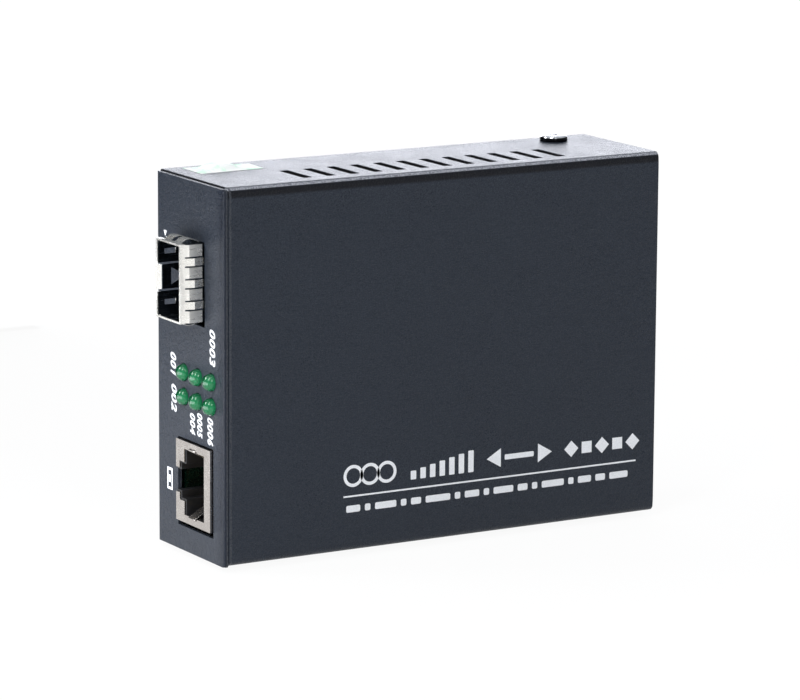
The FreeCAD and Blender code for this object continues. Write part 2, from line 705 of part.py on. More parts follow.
def sfp_cage():
    half = CAGE_WIDTH / 2
    slim = half - CAGE_SHEET
    tube = box(CAGE_FLOOR, CAGE_CEILING, CAGE_FRONT, CAGE_BACK, CAGE_CENTRE - half, CAGE_CENTRE + half)
    inside = box(CAGE_FLOOR + CAGE_SHEET, CAGE_CEILING - CAGE_SHEET, CAGE_FRONT - CUT_PAST,
                 CAGE_BACK - CAGE_SHEET, CAGE_CENTRE - slim, CAGE_CENTRE + slim)
    wide = CONNECTOR_OPENING_WIDTH / 2
    opening = box(CAGE_FLOOR - CUT_PAST, CAGE_FLOOR + CUT_PAST, connector_front() - CONNECTOR_OPENING_AHEAD,
                  CAGE_BACK - CONNECTOR_OPENING_BACK_RIM, CAGE_CENTRE - wide, CAGE_CENTRE + wide)
    tube = cut(tube, [inside, opening, tongue_room()] + cage_windows())
    legs = [box(BOARD_TOP - CAGE_LEG_REACH, CAGE_FLOOR + CAGE_SHEET, *spot) for spot in cage_leg_spots()]
    return join([tube, latch_tongue()] + legs)


def side_strip(profile, axis_lift, low, high):
    """Thin gasket strip: its profile runs in (depth, rise), and it is as wide as low to high."""
    return folded(profile, GASKET_SHEET, GASKET_SHEET, lambda a, b: axis_lift(a, b, low),
                  axis_lift(0, 0, high) - axis_lift(0, 0, low))


def gasket_profiles():
    """Profiles of the three kinds of finger, from the band back towards the panel."""
    start = CAGE_FRONT + GASKET_BAND - FINGER_ROOT
    root = start + FINGER_ROOT
    tip = (-FINGER_END_GAP, FINGER_TIP_RISE)
    finger = [(start, 0), (root, 0), (root + FINGER_RIDGE_DEPTH, FINGER_RIDGE), tip]
    plate = [(start, 0), (root, 0), (start + PLATE_RAMP, PLATE_RISE), (-PLATE_END_GAP, PLATE_RISE)]
    arch = [(start + run, rise * BOW_RISE) for run, rise in BOW_SHAPE]
    bow = [(start, 0), (root, 0)] + arch + [tip]
    return finger, plate, bow


def gasket_band():
    """Band folded over the edge of the cage's mouth, left open at the latch tongue."""
    half = CAGE_WIDTH / 2
    low, high = CAGE_CENTRE - half, CAGE_CENTRE + half
    wrap = GASKET_SHEET
    front = CAGE_FRONT - wrap
    back = CAGE_FRONT + GASKET_BAND
    band = box(CAGE_FLOOR - wrap, CAGE_CEILING + wrap, front, back, low - wrap, high + wrap)
    cage = box(CAGE_FLOOR, CAGE_CEILING, CAGE_FRONT, back + CUT_PAST, low, high)
    mouth = box(CAGE_FLOOR + CAGE_SHEET, CAGE_CEILING - CAGE_SHEET, front - CUT_PAST, back + CUT_PAST,
                low + CAGE_SHEET, high - CAGE_SHEET)
    tongue = TONGUE_WIDTH / 2 + TONGUE_SLIT
    lip_room = box(CAGE_FLOOR - CUT_PAST, CAGE_FLOOR + CUT_PAST, front - CUT_PAST, back + CUT_PAST,
                   CAGE_CENTRE - tongue, CAGE_CENTRE + tongue)
    return cut(band, [cage, mouth, lip_room])


def gasket_face():
    """Narrow spring fingers and the wider plates between them, on the cage's large face."""
    finger, plate, bow = gasket_profiles()
    half = CAGE_WIDTH / 2
    lift = lambda a, b, c: Vector(CAGE_CEILING + b, a, c)
    strips = []
    edges = [CAGE_CENTRE - half]
    for offset in row_offsets(3, FINGER_PITCH):
        low = CAGE_CENTRE + offset - FINGER_WIDTH / 2
        high = low + FINGER_WIDTH
        strips.append(side_strip(finger, lift, low, high))
        edges += [low - FINGER_SLIT, high + FINGER_SLIT]
    edges.append(CAGE_CENTRE + half)
    return strips + [side_strip(plate, lift, low, high) for low, high in zip(edges[::2], edges[1::2])]


def gasket_bows():
    """Two bowed fingers on each narrow side of the cage."""
    finger, plate, bow = gasket_profiles()
    centre = (CAGE_FLOOR + CAGE_CEILING) / 2
    strips = []
    for sign in (1, -1):
        lift = lambda a, b, c: Vector(c, a, CAGE_CENTRE + sign * (CAGE_WIDTH / 2 + b))
        for offset in row_offsets(2, BOW_PITCH):
            start = centre + offset - BOW_WIDTH / 2
            strips.append(side_strip(bow, lift, start, start + BOW_WIDTH))
    return strips


def sfp_gasket():
    """Spring gasket: a band round the cage's mouth, with fingers that run back to the panel."""
    return join([gasket_band()] + gasket_face() + gasket_bows())


def connector_front():
    return CAGE_BACK - CONNECTOR_BACK_GAP - CONNECTOR_DEPTH


def sfp_connector():
    half = CONNECTOR_WIDTH / 2
    front = connector_front()
    back = front + CONNECTOR_DEPTH
    block = box(BOARD_TOP, BOARD_TOP + CONNECTOR_HEIGHT, front, back, CAGE_CENTRE - half, CAGE_CENTRE + half)
    level = BOARD_TOP + CARD_SLOT_LEVEL
    slot = box(level - CARD_SLOT_HEIGHT / 2, level + CARD_SLOT_HEIGHT / 2,
               front - CUT_PAST, front + CARD_SLOT_DEPTH,
               CAGE_CENTRE - CARD_SLOT_WIDTH / 2, CAGE_CENTRE + CARD_SLOT_WIDTH / 2)
    return cut(block, [slot])


def sfp_contacts():
    """Solder tails of the connector's two rows of contacts."""
    front = connector_front()
    back = front + CONNECTOR_DEPTH
    level = BOARD_TOP + TAIL_THICKNESS
    tails = []
    for offset in row_offsets(CONNECTOR_PINS, CONNECTOR_PITCH):
        low = CAGE_CENTRE + offset - TAIL_WIDTH / 2
        high = low + TAIL_WIDTH
        tails.append(box(BOARD_TOP, level, back, back + TAIL_BEHIND, low, high))
        tails.append(box(BOARD_TOP, level, front - TAIL_AHEAD, front, low, high))
    return Part.makeCompound(tails)


# RJ45 socket

def mouth_outline(margin, step_margin):
    """Stepped opening of an RJ45 socket in (level, height), open towards the board."""
    wide = MOUTH_WIDTH / 2 + margin
    middle = LATCH_WIDE / 2 - step_margin
    narrow = LATCH_NARROW / 2 - step_margin
    floor = BOARD_TOP + MOUTH_FLOOR + step_margin
    step = BOARD_TOP + LATCH_STEP + step_margin
    ceiling = BOARD_TOP + MOUTH_CEILING + margin
    foot = BOARD_TOP - CUT_PAST
    half_outline = [(foot, narrow), (step, narrow), (step, middle), (floor, middle),
                    (floor, wide), (ceiling, wide)]
    low = [(level, SOCKET_CENTRE - side) for level, side in half_outline]
    high = [(level, SOCKET_CENTRE + side) for level, side in half_outline]
    return low + high[::-1]


def shield_leg_spots():
    half = SOCKET_WIDTH / 2
    start = SOCKET_FRONT + SHIELD_LEG_DEPTH - SHIELD_LEG_WIDTH / 2
    end = start + SHIELD_LEG_WIDTH
    return [(start, end, SOCKET_CENTRE - half, SOCKET_CENTRE - half + SOCKET_SHEET),
            (start, end, SOCKET_CENTRE + half - SOCKET_SHEET, SOCKET_CENTRE + half)]


def ground_tabs():
    """Spring tabs folded in from both sides of the mouth."""
    foot = BOARD_TOP + GROUND_TAB_FOOT
    half = MOUTH_WIDTH / 2
    tabs = []
    for sign in (1, -1):
        lift = lambda a, b: Vector(foot, a, SOCKET_CENTRE - sign * b)
        path = [(SOCKET_FRONT, half + GROUND_TAB_ROOT), (SOCKET_FRONT, half + GROUND_TAB_SET),
                (SOCKET_FRONT + GROUND_TAB_REACH, half - GROUND_TAB_RISE)]
        tabs.append(folded(path[::-1], SOCKET_SHEET, SOCKET_SHEET, lift, Vector(GROUND_TAB_WIDTH, 0, 0)))
    return tabs


def ground_notches():
    """Relief notches in the shield's front, beside the root of each ground tab."""
    foot = BOARD_TOP + GROUND_TAB_FOOT
    sides = (foot - GROUND_NOTCH, foot + GROUND_TAB_WIDTH)
    half = MOUTH_WIDTH / 2
    notches = []
    for sign in (1, -1):
        mouth_edge = SOCKET_CENTRE + sign * half
        heights = sorted((mouth_edge, mouth_edge + sign * GROUND_NOTCH))
        depth = (SOCKET_FRONT - CUT_PAST, SOCKET_FRONT + SOCKET_SHEET)
        notches += [box(side, side + GROUND_NOTCH, *depth, *heights) for side in sides]
    return notches


def rj45_shield():
    half = SOCKET_WIDTH / 2
    slim = half - SOCKET_SHEET
    top = BOARD_TOP + SOCKET_HEIGHT
    skin = box(BOARD_TOP, top, SOCKET_FRONT, SOCKET_BACK, SOCKET_CENTRE - half, SOCKET_CENTRE + half)
    inside = box(BOARD_TOP - CUT_PAST, top - SOCKET_SHEET, SOCKET_FRONT + SOCKET_SHEET,
                 SOCKET_BACK - SOCKET_SHEET, SOCKET_CENTRE - slim, SOCKET_CENTRE + slim)
    mouth = prism(mouth_outline(0, 0), in_xz(SOCKET_FRONT - CUT_PAST), Vector(0, 2 * CUT_PAST, 0))
    legs = [box(BOARD_TOP - PIN_REACH, BOARD_TOP + SOCKET_SHEET, *spot) for spot in shield_leg_spots()]
    return join([cut(skin, [inside, mouth] + ground_notches())] + legs + ground_tabs())


def peg_spots():
    y = SOCKET_FRONT + PEG_DEPTH
    return [(y, SOCKET_CENTRE - PEG_SPREAD / 2), (y, SOCKET_CENTRE + PEG_SPREAD / 2)]


def contact_spots():
    """Where each contact's pin goes through the board, in two staggered rows."""
    return [(SOCKET_FRONT + CONTACT_ROWS[i % 2], SOCKET_CENTRE + offset)
            for i, offset in enumerate(row_offsets(CONTACT_COUNT, CONTACT_PITCH))]


def rj45_insert():
    """Moulded insert with the plug's cavity and a groove for each contact."""
    half = SOCKET_WIDTH / 2 - SOCKET_SHEET - SOCKET_FIT
    front = SOCKET_FRONT + SOCKET_SHEET + SOCKET_FIT
    back = SOCKET_BACK - SOCKET_SHEET - SOCKET_FIT
    top = BOARD_TOP + SOCKET_HEIGHT - SOCKET_SHEET - SOCKET_FIT
    block = box(BOARD_TOP, top, front, back, SOCKET_CENTRE - half, SOCKET_CENTRE + half)
    pegs = [rod(PEG_DIAMETER, Vector(BOARD_TOP - PIN_REACH, y, z), ALONG_X, PIN_REACH)
            for y, z in peg_spots()]
    cavity = prism(mouth_outline(INSERT_SETBACK, INSERT_STEP), in_xz(SOCKET_FRONT - CUT_PAST),
                   Vector(0, CAVITY_DEPTH + CUT_PAST, 0))
    return cut(join([block] + pegs), [cavity] + contact_grooves())


def contact_grooves():
    half = CONTACT_WIDTH / 2 + CONTACT_SIDE_PLAY
    room = CONTACT_THICKNESS + CONTACT_PLAY
    front = SOCKET_FRONT + CONTACT_FRONT - CONTACT_BEND_PLAY
    foot = BOARD_TOP + MOUTH_CEILING - CUT_PAST
    ceiling = BOARD_TOP + CONTACT_RUN_LEVEL + room
    grooves = []
    for y, z in contact_spots():
        grooves.append(box(foot, ceiling, front, y + room, z - half, z + half))
        grooves.append(box(BOARD_TOP - CUT_PAST, ceiling, y - room, y + room, z - half, z + half))
    return grooves


def rj45_contacts():
    """Eight spring contacts: up from the board, forward over the cavity, and back down into it."""
    wires = []
    run = BOARD_TOP + CONTACT_RUN_LEVEL
    for y, z in contact_spots():
        path = [(BOARD_TOP - PIN_REACH, y), (run, y), (run, SOCKET_FRONT + CONTACT_FRONT),
                (BOARD_TOP + CONTACT_TIP_LEVEL, SOCKET_FRONT + CONTACT_TIP_DEPTH)]
        wires.append(folded(path, CONTACT_THICKNESS, CONTACT_THICKNESS, in_xy(z - CONTACT_WIDTH / 2),
                            Vector(0, 0, CONTACT_WIDTH)))
    return Part.makeCompound(wires)


# Indicator lights

def led_lens(x, z, setback):
    """Round lens with a domed tip, and a rim at its back."""
    radius = LED_DIAMETER / 2
    centre = LED_DOME_CENTRE + setback
    back = LED_BACK + setback
    barrel = rod(LED_DIAMETER, Vector(x, centre, z), ALONG_Y, back - centre)
    rim = rod(LED_RIM_DIAMETER, Vector(x, back - LED_RIM, z), ALONG_Y, LED_RIM)
    dome = Part.makeSphere(radius, Vector(x, centre, z))
    return join([dome, barrel, rim])


def lead_spots():
    """Where each light's leads go through the board."""
    return [(row, z + side * LED_LEAD_SPREAD / 2)
            for x, z, setback, row in led_places() for side in (-1, 1)]


def led_leads():
    """Two square leads for each light, bent down to the board."""
    leads = []
    half = LED_LEAD / 2
    for x, z, setback, row in led_places():
        for side in (-1, 1):
            low = z + side * LED_LEAD_SPREAD / 2 - half
            path = [(x - half, LED_BACK + setback), (x - half, row - half),
                    (BOARD_TOP - PIN_REACH, row - half)]
            leads.append(folded(path[::-1], LED_LEAD, LED_LEAD, in_xy(low), Vector(0, 0, LED_LEAD)))
    return Part.makeCompound(leads)


def led_holder():
    """Moulded stand that carries the lights at their levels behind the panel."""
    low = min(LED_COLUMNS) - HOLDER_EDGE
    high = max(LED_COLUMNS) + HOLDER_EDGE
    top = BOARD_TOP + max(LED_LEVELS) + HOLDER_EDGE
    block = box(BOARD_TOP, top, HOLDER_FRONT, HOLDER_BACK, low, high)
    reach = HOLDER_BACK - HOLDER_FRONT + 2 * CUT_PAST
    front = HOLDER_FRONT - CUT_PAST
    tools = []
    for x, z, setback, row in led_places():
        rim_front = LED_BACK + setback - LED_RIM - LED_BORE_PLAY / 2
        tools.append(rod(LED_DIAMETER + LED_BORE_PLAY, Vector(x, front, z), ALONG_Y, reach))
        tools.append(rod(LED_RIM_DIAMETER + LED_BORE_PLAY, Vector(x, rim_front, z), ALONG_Y, reach))
    return cut(block, tools)


# Power inlet

def terminal_spots():
    """Footprints of the inlet's three solder terminals: back, spring and side."""
    wide = INLET_TERMINAL_WIDTH / 2
    thin = INLET_TERMINAL_SHEET / 2
    end = CASE_LENGTH - INLET_DEPTH
    back = end + INLET_BACK_TERMINAL
    spring = end + INLET_SPRING_TERMINAL
    side = end + INLET_SIDE_TERMINAL
    side_low = INLET_CENTRE + INLET_WIDTH / 2 + INLET_SIDE_TERMINAL_GAP
    return [(back - thin, back + thin, INLET_CENTRE - wide, INLET_CENTRE + wide),
            (spring - thin, spring + thin, INLET_CENTRE - wide, INLET_CENTRE + wide),
            (side - wide, side + wide, side_low, side_low + INLET_TERMINAL_SHEET)]


def inlet_axis():
    return Vector(BOARD_TOP + INLET_AXIS_LEVEL, CASE_LENGTH, INLET_CENTRE)


def inlet_body():
    half = INLET_WIDTH / 2
    slim = half - INLET_WAIST
    back = CASE_LENGTH - INLET_DEPTH
    flange = box(BOARD_TOP, BOARD_TOP + INLET_HEIGHT, CASE_LENGTH - INLET_FLANGE, CASE_LENGTH,
                 INLET_CENTRE - half, INLET_CENTRE + half)
    body = box(BOARD_TOP, BOARD_TOP + INLET_HEIGHT - INLET_WAIST, back, CASE_LENGTH - INLET_FLANGE,
               INLET_CENTRE - slim, INLET_CENTRE + slim)
    axis = inlet_axis()
    bore = rod(INLET_BORE, axis, -ALONG_Y, INLET_BORE_DEPTH)
    mouth = Part.makeCone(INLET_BORE / 2 + INLET_LEAD_IN, INLET_BORE / 2, INLET_LEAD_IN, axis, -ALONG_Y)
    pin_hole = rod(INLET_PIN_ROOT + 2 * INLET_PIN_PLAY, axis, -ALONG_Y, INLET_DEPTH + CUT_PAST)
    back_terminal, spring_terminal, side_terminal = terminal_spots()
    slots = [box(BOARD_TOP - CUT_PAST, axis.x, *back_terminal),
             box(BOARD_TOP - CUT_PAST, spring_level() + INLET_SPRING_PLAY, *spring_terminal)]
    return cut(join([flange, body]), [bore, mouth, pin_hole] + slots)


def spring_level():
    """Top of the spring terminal, just inside the bore."""
    return inlet_axis().x - INLET_BORE / 2 + INLET_SPRING_RISE


def inlet_pin():
    """Centre pin: free in the bore, with a thicker root held in the body."""
    axis = inlet_axis()
    root_back = terminal_spots()[0][1]
    root_front = CASE_LENGTH - INLET_BORE_DEPTH
    tip = CASE_LENGTH - INLET_PIN_SETBACK
    free = INLET_PIN_DIAMETER / 2
    root = INLET_PIN_ROOT / 2
    profile = [(0, root_back), (root, root_back), (root, root_front),
               (free, root_front), (free, tip), (0, tip)]
    face = rounded_face(profile, [0, 0, 0, 0, INLET_PIN_ROUNDING, 0], in_xy(0))
    pin = face.revolve(Vector(0, 0, 0), ALONG_Y, 360)
    pin.translate(Vector(axis.x, 0, axis.z))
    return pin


def inlet_contacts():
    """Flat terminals: behind the pin, under the sleeve, and the switched one at the side."""
    axis = inlet_axis()
    back_terminal, spring_terminal, side_terminal = terminal_spots()
    low = BOARD_TOP - INLET_TERMINAL_REACH
    return Part.makeCompound([
        box(low, axis.x, *back_terminal),
        box(low, spring_level(), *spring_terminal),
        box(low, BOARD_TOP + INLET_SIDE_TERMINAL_HEIGHT, *side_terminal),
    ])


# Components on the board

def seat(at, size):
    """Box of a body that sits BODY_LIFT above the board."""
    (y, z), (deep, high, thick) = at, size
    return box(BOARD_TOP + BODY_LIFT, BOARD_TOP + BODY_LIFT + thick, y - deep / 2, y + deep / 2,
               z - high / 2, z + high / 2)


def chamfered(shape, size):
    """Body with its upper edges broken."""
    top = shape.BoundBox.XMax
    edges = [edge for edge in shape.Edges
             if abs(edge.CenterOfMass.x - top) < 0.001 and edge.Length > 0.5]
    return shape.makeChamfer(size, edges)


def lead_rows(at, size, count, pitch, width, sides):
    """Gull-wing leads along the named sides of a body."""
    (y, z), (deep, high, thick) = at, size
    leads = []
    for offset in row_offsets(count, pitch):
        spots = {
            "front": (Vector(BOARD_TOP, y, z + offset), -ALONG_Y, deep / 2),
            "rear": (Vector(BOARD_TOP, y, z + offset), ALONG_Y, deep / 2),
            "low": (Vector(BOARD_TOP, y + offset, z), -ALONG_Z, high / 2),
            "high": (Vector(BOARD_TOP, y + offset, z), ALONG_Z, high / 2),
        }
        leads += [gull_lead(spots[side][0], spots[side][1], width, spots[side][2]) for side in sides]
    return Part.makeCompound(leads)


def converter_chip():
    """Square flat chip with a round mark in one corner."""
    body = chamfered(seat(CHIP_AT, CHIP_SIZE), CHIP_EDGE)
    corner = Vector(body.BoundBox.XMax, body.BoundBox.YMin, body.BoundBox.ZMin)
    spot = corner + Vector(-CHIP_MARK_DEPTH, CHIP_MARK_INSET, CHIP_MARK_INSET)
    return cut(body, [rod(CHIP_MARK_DIAMETER, spot, ALONG_X, CUT_PAST)])


def from_rear(at):
    return (BOARD_REAR - at[0], at[1])


def regulator_leads():
    """Three leads at the front, and the broad cooling tab at the back."""
    y, z = from_rear(REGULATOR_FROM_REAR)
    leads = lead_rows((y, z), REGULATOR_SIZE, REGULATOR_LEADS, REGULATOR_PITCH, REGULATOR_LEAD_WIDTH,
                      ["front"])
    deep, high, thick = REGULATOR_TAB
    start = y + REGULATOR_SIZE[0] / 2
    tab = box(BOARD_TOP, BOARD_TOP + thick, start, start + deep, z - high / 2, z + high / 2)
    return Part.makeCompound(leads.Solids + [tab])


def upright_edges(shape):
    """Edges that run away from the board."""
    return [edge for edge in shape.Edges if edge.BoundBox.XLength > 0.4]


def power_inductor():
    body = seat(from_rear(INDUCTOR_FROM_REAR), INDUCTOR_SIZE)
    body.translate(Vector(-BODY_LIFT, 0, 0))
    return chamfered(body.makeChamfer(INDUCTOR_CORNER, upright_edges(body)), INDUCTOR_EDGE)


def crystal():
    """Metal can with round ends, on its brim."""
    (y, z), (deep, high, thick) = CRYSTAL_AT, CRYSTAL_SIZE
    can = seat(CRYSTAL_AT, CRYSTAL_SIZE)
    can = can.makeFillet(deep / 2 - 0.05, upright_edges(can))
    can.translate(Vector(CRYSTAL_LIFT, 0, 0))
    half_deep = deep / 2 + CRYSTAL_BRIM
    half_high = high / 2 + CRYSTAL_BRIM
    brim = box(BOARD_TOP, BOARD_TOP + CRYSTAL_BRIM_HEIGHT, y - half_deep, y + half_deep,
               z - half_high, z + half_high)
    brim = brim.makeFillet(deep / 2, upright_edges(brim))
    return join([can, brim])


def capacitor(at):
    """Round aluminium can on a square base with two cut corners."""
    y, z = at
    side, base_height = CAPACITOR_BASE
    base = box(BOARD_TOP, BOARD_TOP + base_height, y - side / 2, y + side / 2, z - side / 2, z + side / 2)
    rear_edges = [edge for edge in upright_edges(base) if edge.CenterOfMass.y > y]
    base = base.makeChamfer(CAPACITOR_BASE_CORNER, rear_edges)
    radius = CAPACITOR_DIAMETER / 2
    top = CAPACITOR_HEIGHT - base_height
    groove = CAPACITOR_GROOVE_LEVEL
    profile = [(0, 0), (radius, 0), (radius, groove - CAPACITOR_GROOVE_HALF),
               (radius - CAPACITOR_GROOVE_DEPTH, groove), (radius, groove + CAPACITOR_GROOVE_HALF),
               (radius, top), (0, top)]
    face = rounded_face(profile, [0, 0, 0, 0, 0, CAPACITOR_ROUNDING, 0], in_xz(0))
    can = face.revolve(Vector(0, 0, 0), ALONG_Z, 360)
    foot = Vector(BOARD_TOP + base_height, y, z)
    can.Placement = FreeCAD.Placement(foot, FreeCAD.Rotation(ALONG_Z, ALONG_X))
    return join([base, can])


def passive(y, z):
    deep, high, thick = CHIP_PASSIVE
    return box(BOARD_TOP, BOARD_TOP + thick, y - deep / 2, y + deep / 2, z - high / 2, z + high / 2)


def chip_resistors():
    """Two rows of small resistors, below and above the main chip."""
    return Part.makeCompound([passive(CHIP_AT[0] + offset, z) for z in RESISTOR_ROWS
                              for offset in row_offsets(RESISTOR_COUNT, RESISTOR_STEP)])


def chip_capacitors():
    """Bypass capacitors in a row behind the crystal."""
    y, z = BYPASS_CORNER
    return Part.makeCompound([passive(y, z + i * BYPASS_STEP) for i in range(BYPASS_COUNT)])


def nodes():
    pieces = {
        "chassis": chassis(),
        "cover": cover(),
        "case_screws": case_screws(),
        "seal_label": seal_label(),
        "board_standoffs": standoffs(),
        "circuit_board": circuit_board(),
        "board_screws": board_screws(),
        "sfp_cage": sfp_cage(),
        "sfp_gasket": sfp_gasket(),
        "sfp_connector": sfp_connector(),
        "sfp_contacts": sfp_contacts(),
        "rj45_shield": rj45_shield(),
        "rj45_insert": rj45_insert(),
        "rj45_contacts": rj45_contacts(),
        "led_holder": led_holder(),
        "led_leads": led_leads(),
        "inlet_body": inlet_body(),
        "inlet_pin": inlet_pin(),
        "inlet_contacts": inlet_contacts(),
        "magnetics_module": chamfered(seat(MAGNETICS_AT, MAGNETICS_SIZE), MAGNETICS_EDGE),
        "magnetics_leads": lead_rows(MAGNETICS_AT, MAGNETICS_SIZE, MAGNETICS_LEADS, MAGNETICS_PITCH,
                                     MAGNETICS_LEAD_WIDTH, ["front", "rear"]),
        "converter_chip": converter_chip(),
        "converter_chip_leads": lead_rows(CHIP_AT, CHIP_SIZE, CHIP_LEADS, CHIP_PITCH, CHIP_LEAD_WIDTH,
                                          ["front", "rear", "low", "high"]),
        "memory_chip": chamfered(seat(MEMORY_AT, MEMORY_SIZE), CHIP_EDGE),
        "memory_chip_leads": lead_rows(MEMORY_AT, MEMORY_SIZE, MEMORY_LEADS, MEMORY_PITCH,
                                       MEMORY_LEAD_WIDTH, ["front", "rear"]),
        "voltage_regulator": chamfered(seat(from_rear(REGULATOR_FROM_REAR), REGULATOR_SIZE), CHIP_EDGE),
        "regulator_leads": regulator_leads(),
        "power_inductor": power_inductor(),
        "crystal": crystal(),
        "chip_resistors": chip_resistors(),
        "chip_capacitors": chip_capacitors(),
    }
    for number, place in enumerate(led_places(), 1):
        pieces[f"led_{number}"] = led_lens(*place[:3])
    for number, at in enumerate(CAPACITORS_FROM_REAR, 1):
        pieces[f"capacitor_{number}"] = capacitor(from_rear(at))
    return pieces


def main():
    os.makedirs("parts", exist_ok=True)
    front = CAGE_FRONT - GASKET_SHEET
    move = Vector(-CASE_WIDTH / 2, -(front + CASE_LENGTH) / 2, HEAD_HEIGHT)
    for name, shape in nodes().items():
        shape.translate(move)
        shape.exportStep(os.path.join("parts", name + ".step"))


main()
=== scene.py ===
import json
import math

import bpy
from mathutils import Matrix, Vector


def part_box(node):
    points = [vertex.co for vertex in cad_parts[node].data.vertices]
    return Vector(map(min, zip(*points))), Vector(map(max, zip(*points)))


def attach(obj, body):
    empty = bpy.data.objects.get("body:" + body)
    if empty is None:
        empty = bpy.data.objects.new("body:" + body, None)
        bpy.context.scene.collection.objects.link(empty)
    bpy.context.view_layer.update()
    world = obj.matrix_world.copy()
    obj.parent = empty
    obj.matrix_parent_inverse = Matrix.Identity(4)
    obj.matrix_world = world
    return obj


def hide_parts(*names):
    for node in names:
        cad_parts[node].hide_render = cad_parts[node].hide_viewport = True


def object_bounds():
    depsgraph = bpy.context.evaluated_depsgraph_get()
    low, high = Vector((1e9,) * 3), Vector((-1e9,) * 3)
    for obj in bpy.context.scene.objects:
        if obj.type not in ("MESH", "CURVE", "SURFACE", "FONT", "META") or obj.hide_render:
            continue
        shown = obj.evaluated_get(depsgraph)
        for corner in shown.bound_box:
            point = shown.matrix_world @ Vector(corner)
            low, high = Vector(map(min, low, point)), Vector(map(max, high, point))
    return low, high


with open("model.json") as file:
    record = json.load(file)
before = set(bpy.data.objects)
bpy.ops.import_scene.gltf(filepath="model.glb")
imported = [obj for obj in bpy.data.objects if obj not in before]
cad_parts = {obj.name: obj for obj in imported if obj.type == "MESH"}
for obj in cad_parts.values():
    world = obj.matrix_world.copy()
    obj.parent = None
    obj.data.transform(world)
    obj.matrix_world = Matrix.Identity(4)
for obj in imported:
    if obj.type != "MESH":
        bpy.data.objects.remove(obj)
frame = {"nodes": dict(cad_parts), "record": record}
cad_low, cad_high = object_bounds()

# Looks of a fibre media converter: a small upright case of folded sheet with a dark powder coat.
# Lengths are in metres, and MM turns millimetres into them.
MM = 0.001

# Camera
CAMERA_PLACE = Vector((698.10, -412.025, 195.75)) * MM
CAMERA_AZIMUTH = math.radians(59.436)
CAMERA_ELEVATION = math.radians(11.190)
CAMERA_ROLL = math.radians(0.344)
CAMERA_LENS = 196.15

# Widths of the rounded edges, the steps of the usual ones, and the turn that counts as an edge
SHEET_EDGE = 0.09 * MM
THIN_EDGE = 0.03 * MM
MOULD_EDGE = 0.07 * MM
PAINTED_ARRIS = 0.32 * MM
PANEL_ARRIS = 0.45 * MM
LENS_EDGE = 0.06 * MM
CORE_EDGE = 0.05 * MM
EDGE_STEPS = 2
SMOOTH_ANGLE = math.radians(38)

# Sheet of the case: its thickness, the cover's bend, how near its ends the front panel's outline is
# rounded, and how deep and from how far the large face is drawn in toward each fold
SHEET = 0.8 * MM
COVER_BEND = 1.2 * MM
PANEL_CORNER = 1.1 * MM
CROWN = 0.06 * MM
CROWN_REACH = 1.6 * MM
CROWN_STEPS = 4

# Tolerances: the same point, also in ink, triangles of one flat face, and places on one plane
SAME_POINT = 0.0005 * MM
SAME_INK_POINT = 0.001 * MM
SAME_FACE = math.radians(0.5)
TINY = 0.004 * MM
LEVEL = 0.01 * MM

# Painted highlights: a lighter coat on the arrises at the front, and bright tin on the cage's rim and
# lip
ARRIS_HIGHLIGHT = (0.050, 0.055, 0.065)
TIN_HIGHLIGHT = (0.97, 0.96, 0.92)
LIP_REACH = 0.30 * MM

# Lenses of the lights, and the core in each, whose dome is centred CORE_PLACE behind the lens's tip
LENS_RADIUS = 1.62 * MM
LENS_RIM = 1.0 * MM
LENS_SIDES = 48
CORE_RADIUS = 0.8 * LENS_RADIUS
CORE_PLACE = 1.25 * LENS_RADIUS
CORE_LENGTH = 3.6 * MM
CORE_SIDES = 32

# Print: the ink's thickness, a number's em against its height, its slant and spacing, and how far
# the ink swells its strokes
PRINT_STEP = 0.015 * MM
NUMBER_EM = 1.38
NUMBER_SLANT = 0.22
NUMBER_SPACING = 1.12
INK_SWELL = 0.05

# Studio
ROOM_LIGHT = 0.60
WALL_LIGHT = 0.12
FLOOR_GLOW = 0.94
FLAG_PLACE = (-0.22, -0.20, 0.15)
FLAG_SIZE = (0.004, 0.46, 0.30)
LAMP_AIM = (0, 0, 0.035)

# Seal over the front screw of the upper side: its corners as shares of its box, the shares of their
# height that its drape and the head under it keep, how far from the head's middle the drape is flat
# and ends, and how far in from one edge it is held down
SEAL_THICKNESS = 0.06 * MM
SEAL_CORNERS = {(0, 0): (0, 0.015), (1, 0): (1, 0), (1, 1): (0.925, 0.971), (0, 1): (0.125, 1)}
SEAL_CUTS = 95
SEAL_LIFT = 0.66
HEAD_LIFT = 0.9 * SEAL_LIFT
HEAD_RADIUS = 2.7 * MM
DRAPE_FLAT = 1.4 * MM
DRAPE_REACH = 4.6 * MM
TUCK = 0.5 * MM


def box_of(node):
    """Lowest corner, highest corner and middle of a CAD node."""
    low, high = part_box(node)
    return low, high, (low + high) / 2


# Selecting and shaping

def choose(piece):
    """Makes the piece the only one chosen, ready for an operator."""
    bpy.ops.object.select_all(action="DESELECT")
    piece.select_set(True)
    bpy.context.view_layer.objects.active = piece


def newest(name):
    piece = bpy.context.active_object
    piece.name = name
    piece.data.name = name
    return piece


def apply_place(piece):
    choose(piece)
    bpy.ops.object.transform_apply(location=True, rotation=True, scale=True)


def apply_all(piece):
    """Applies the piece's modifiers in their order."""
    choose(piece)
    for modifier in list(piece.modifiers):
        bpy.ops.object.modifier_apply(modifier=modifier.name)


def pick_points(piece, wanted):
    """Edit mode with only the wanted points chosen, by their place."""
    choose(piece)
    bpy.ops.object.mode_set(mode="EDIT")
    bpy.ops.mesh.select_mode(type="VERT")
    bpy.ops.mesh.select_all(action="DESELECT")
    bpy.ops.object.mode_set(mode="OBJECT")
    for point in piece.data.vertices:
        point.select = wanted(point.co)
    bpy.ops.object.mode_set(mode="EDIT")


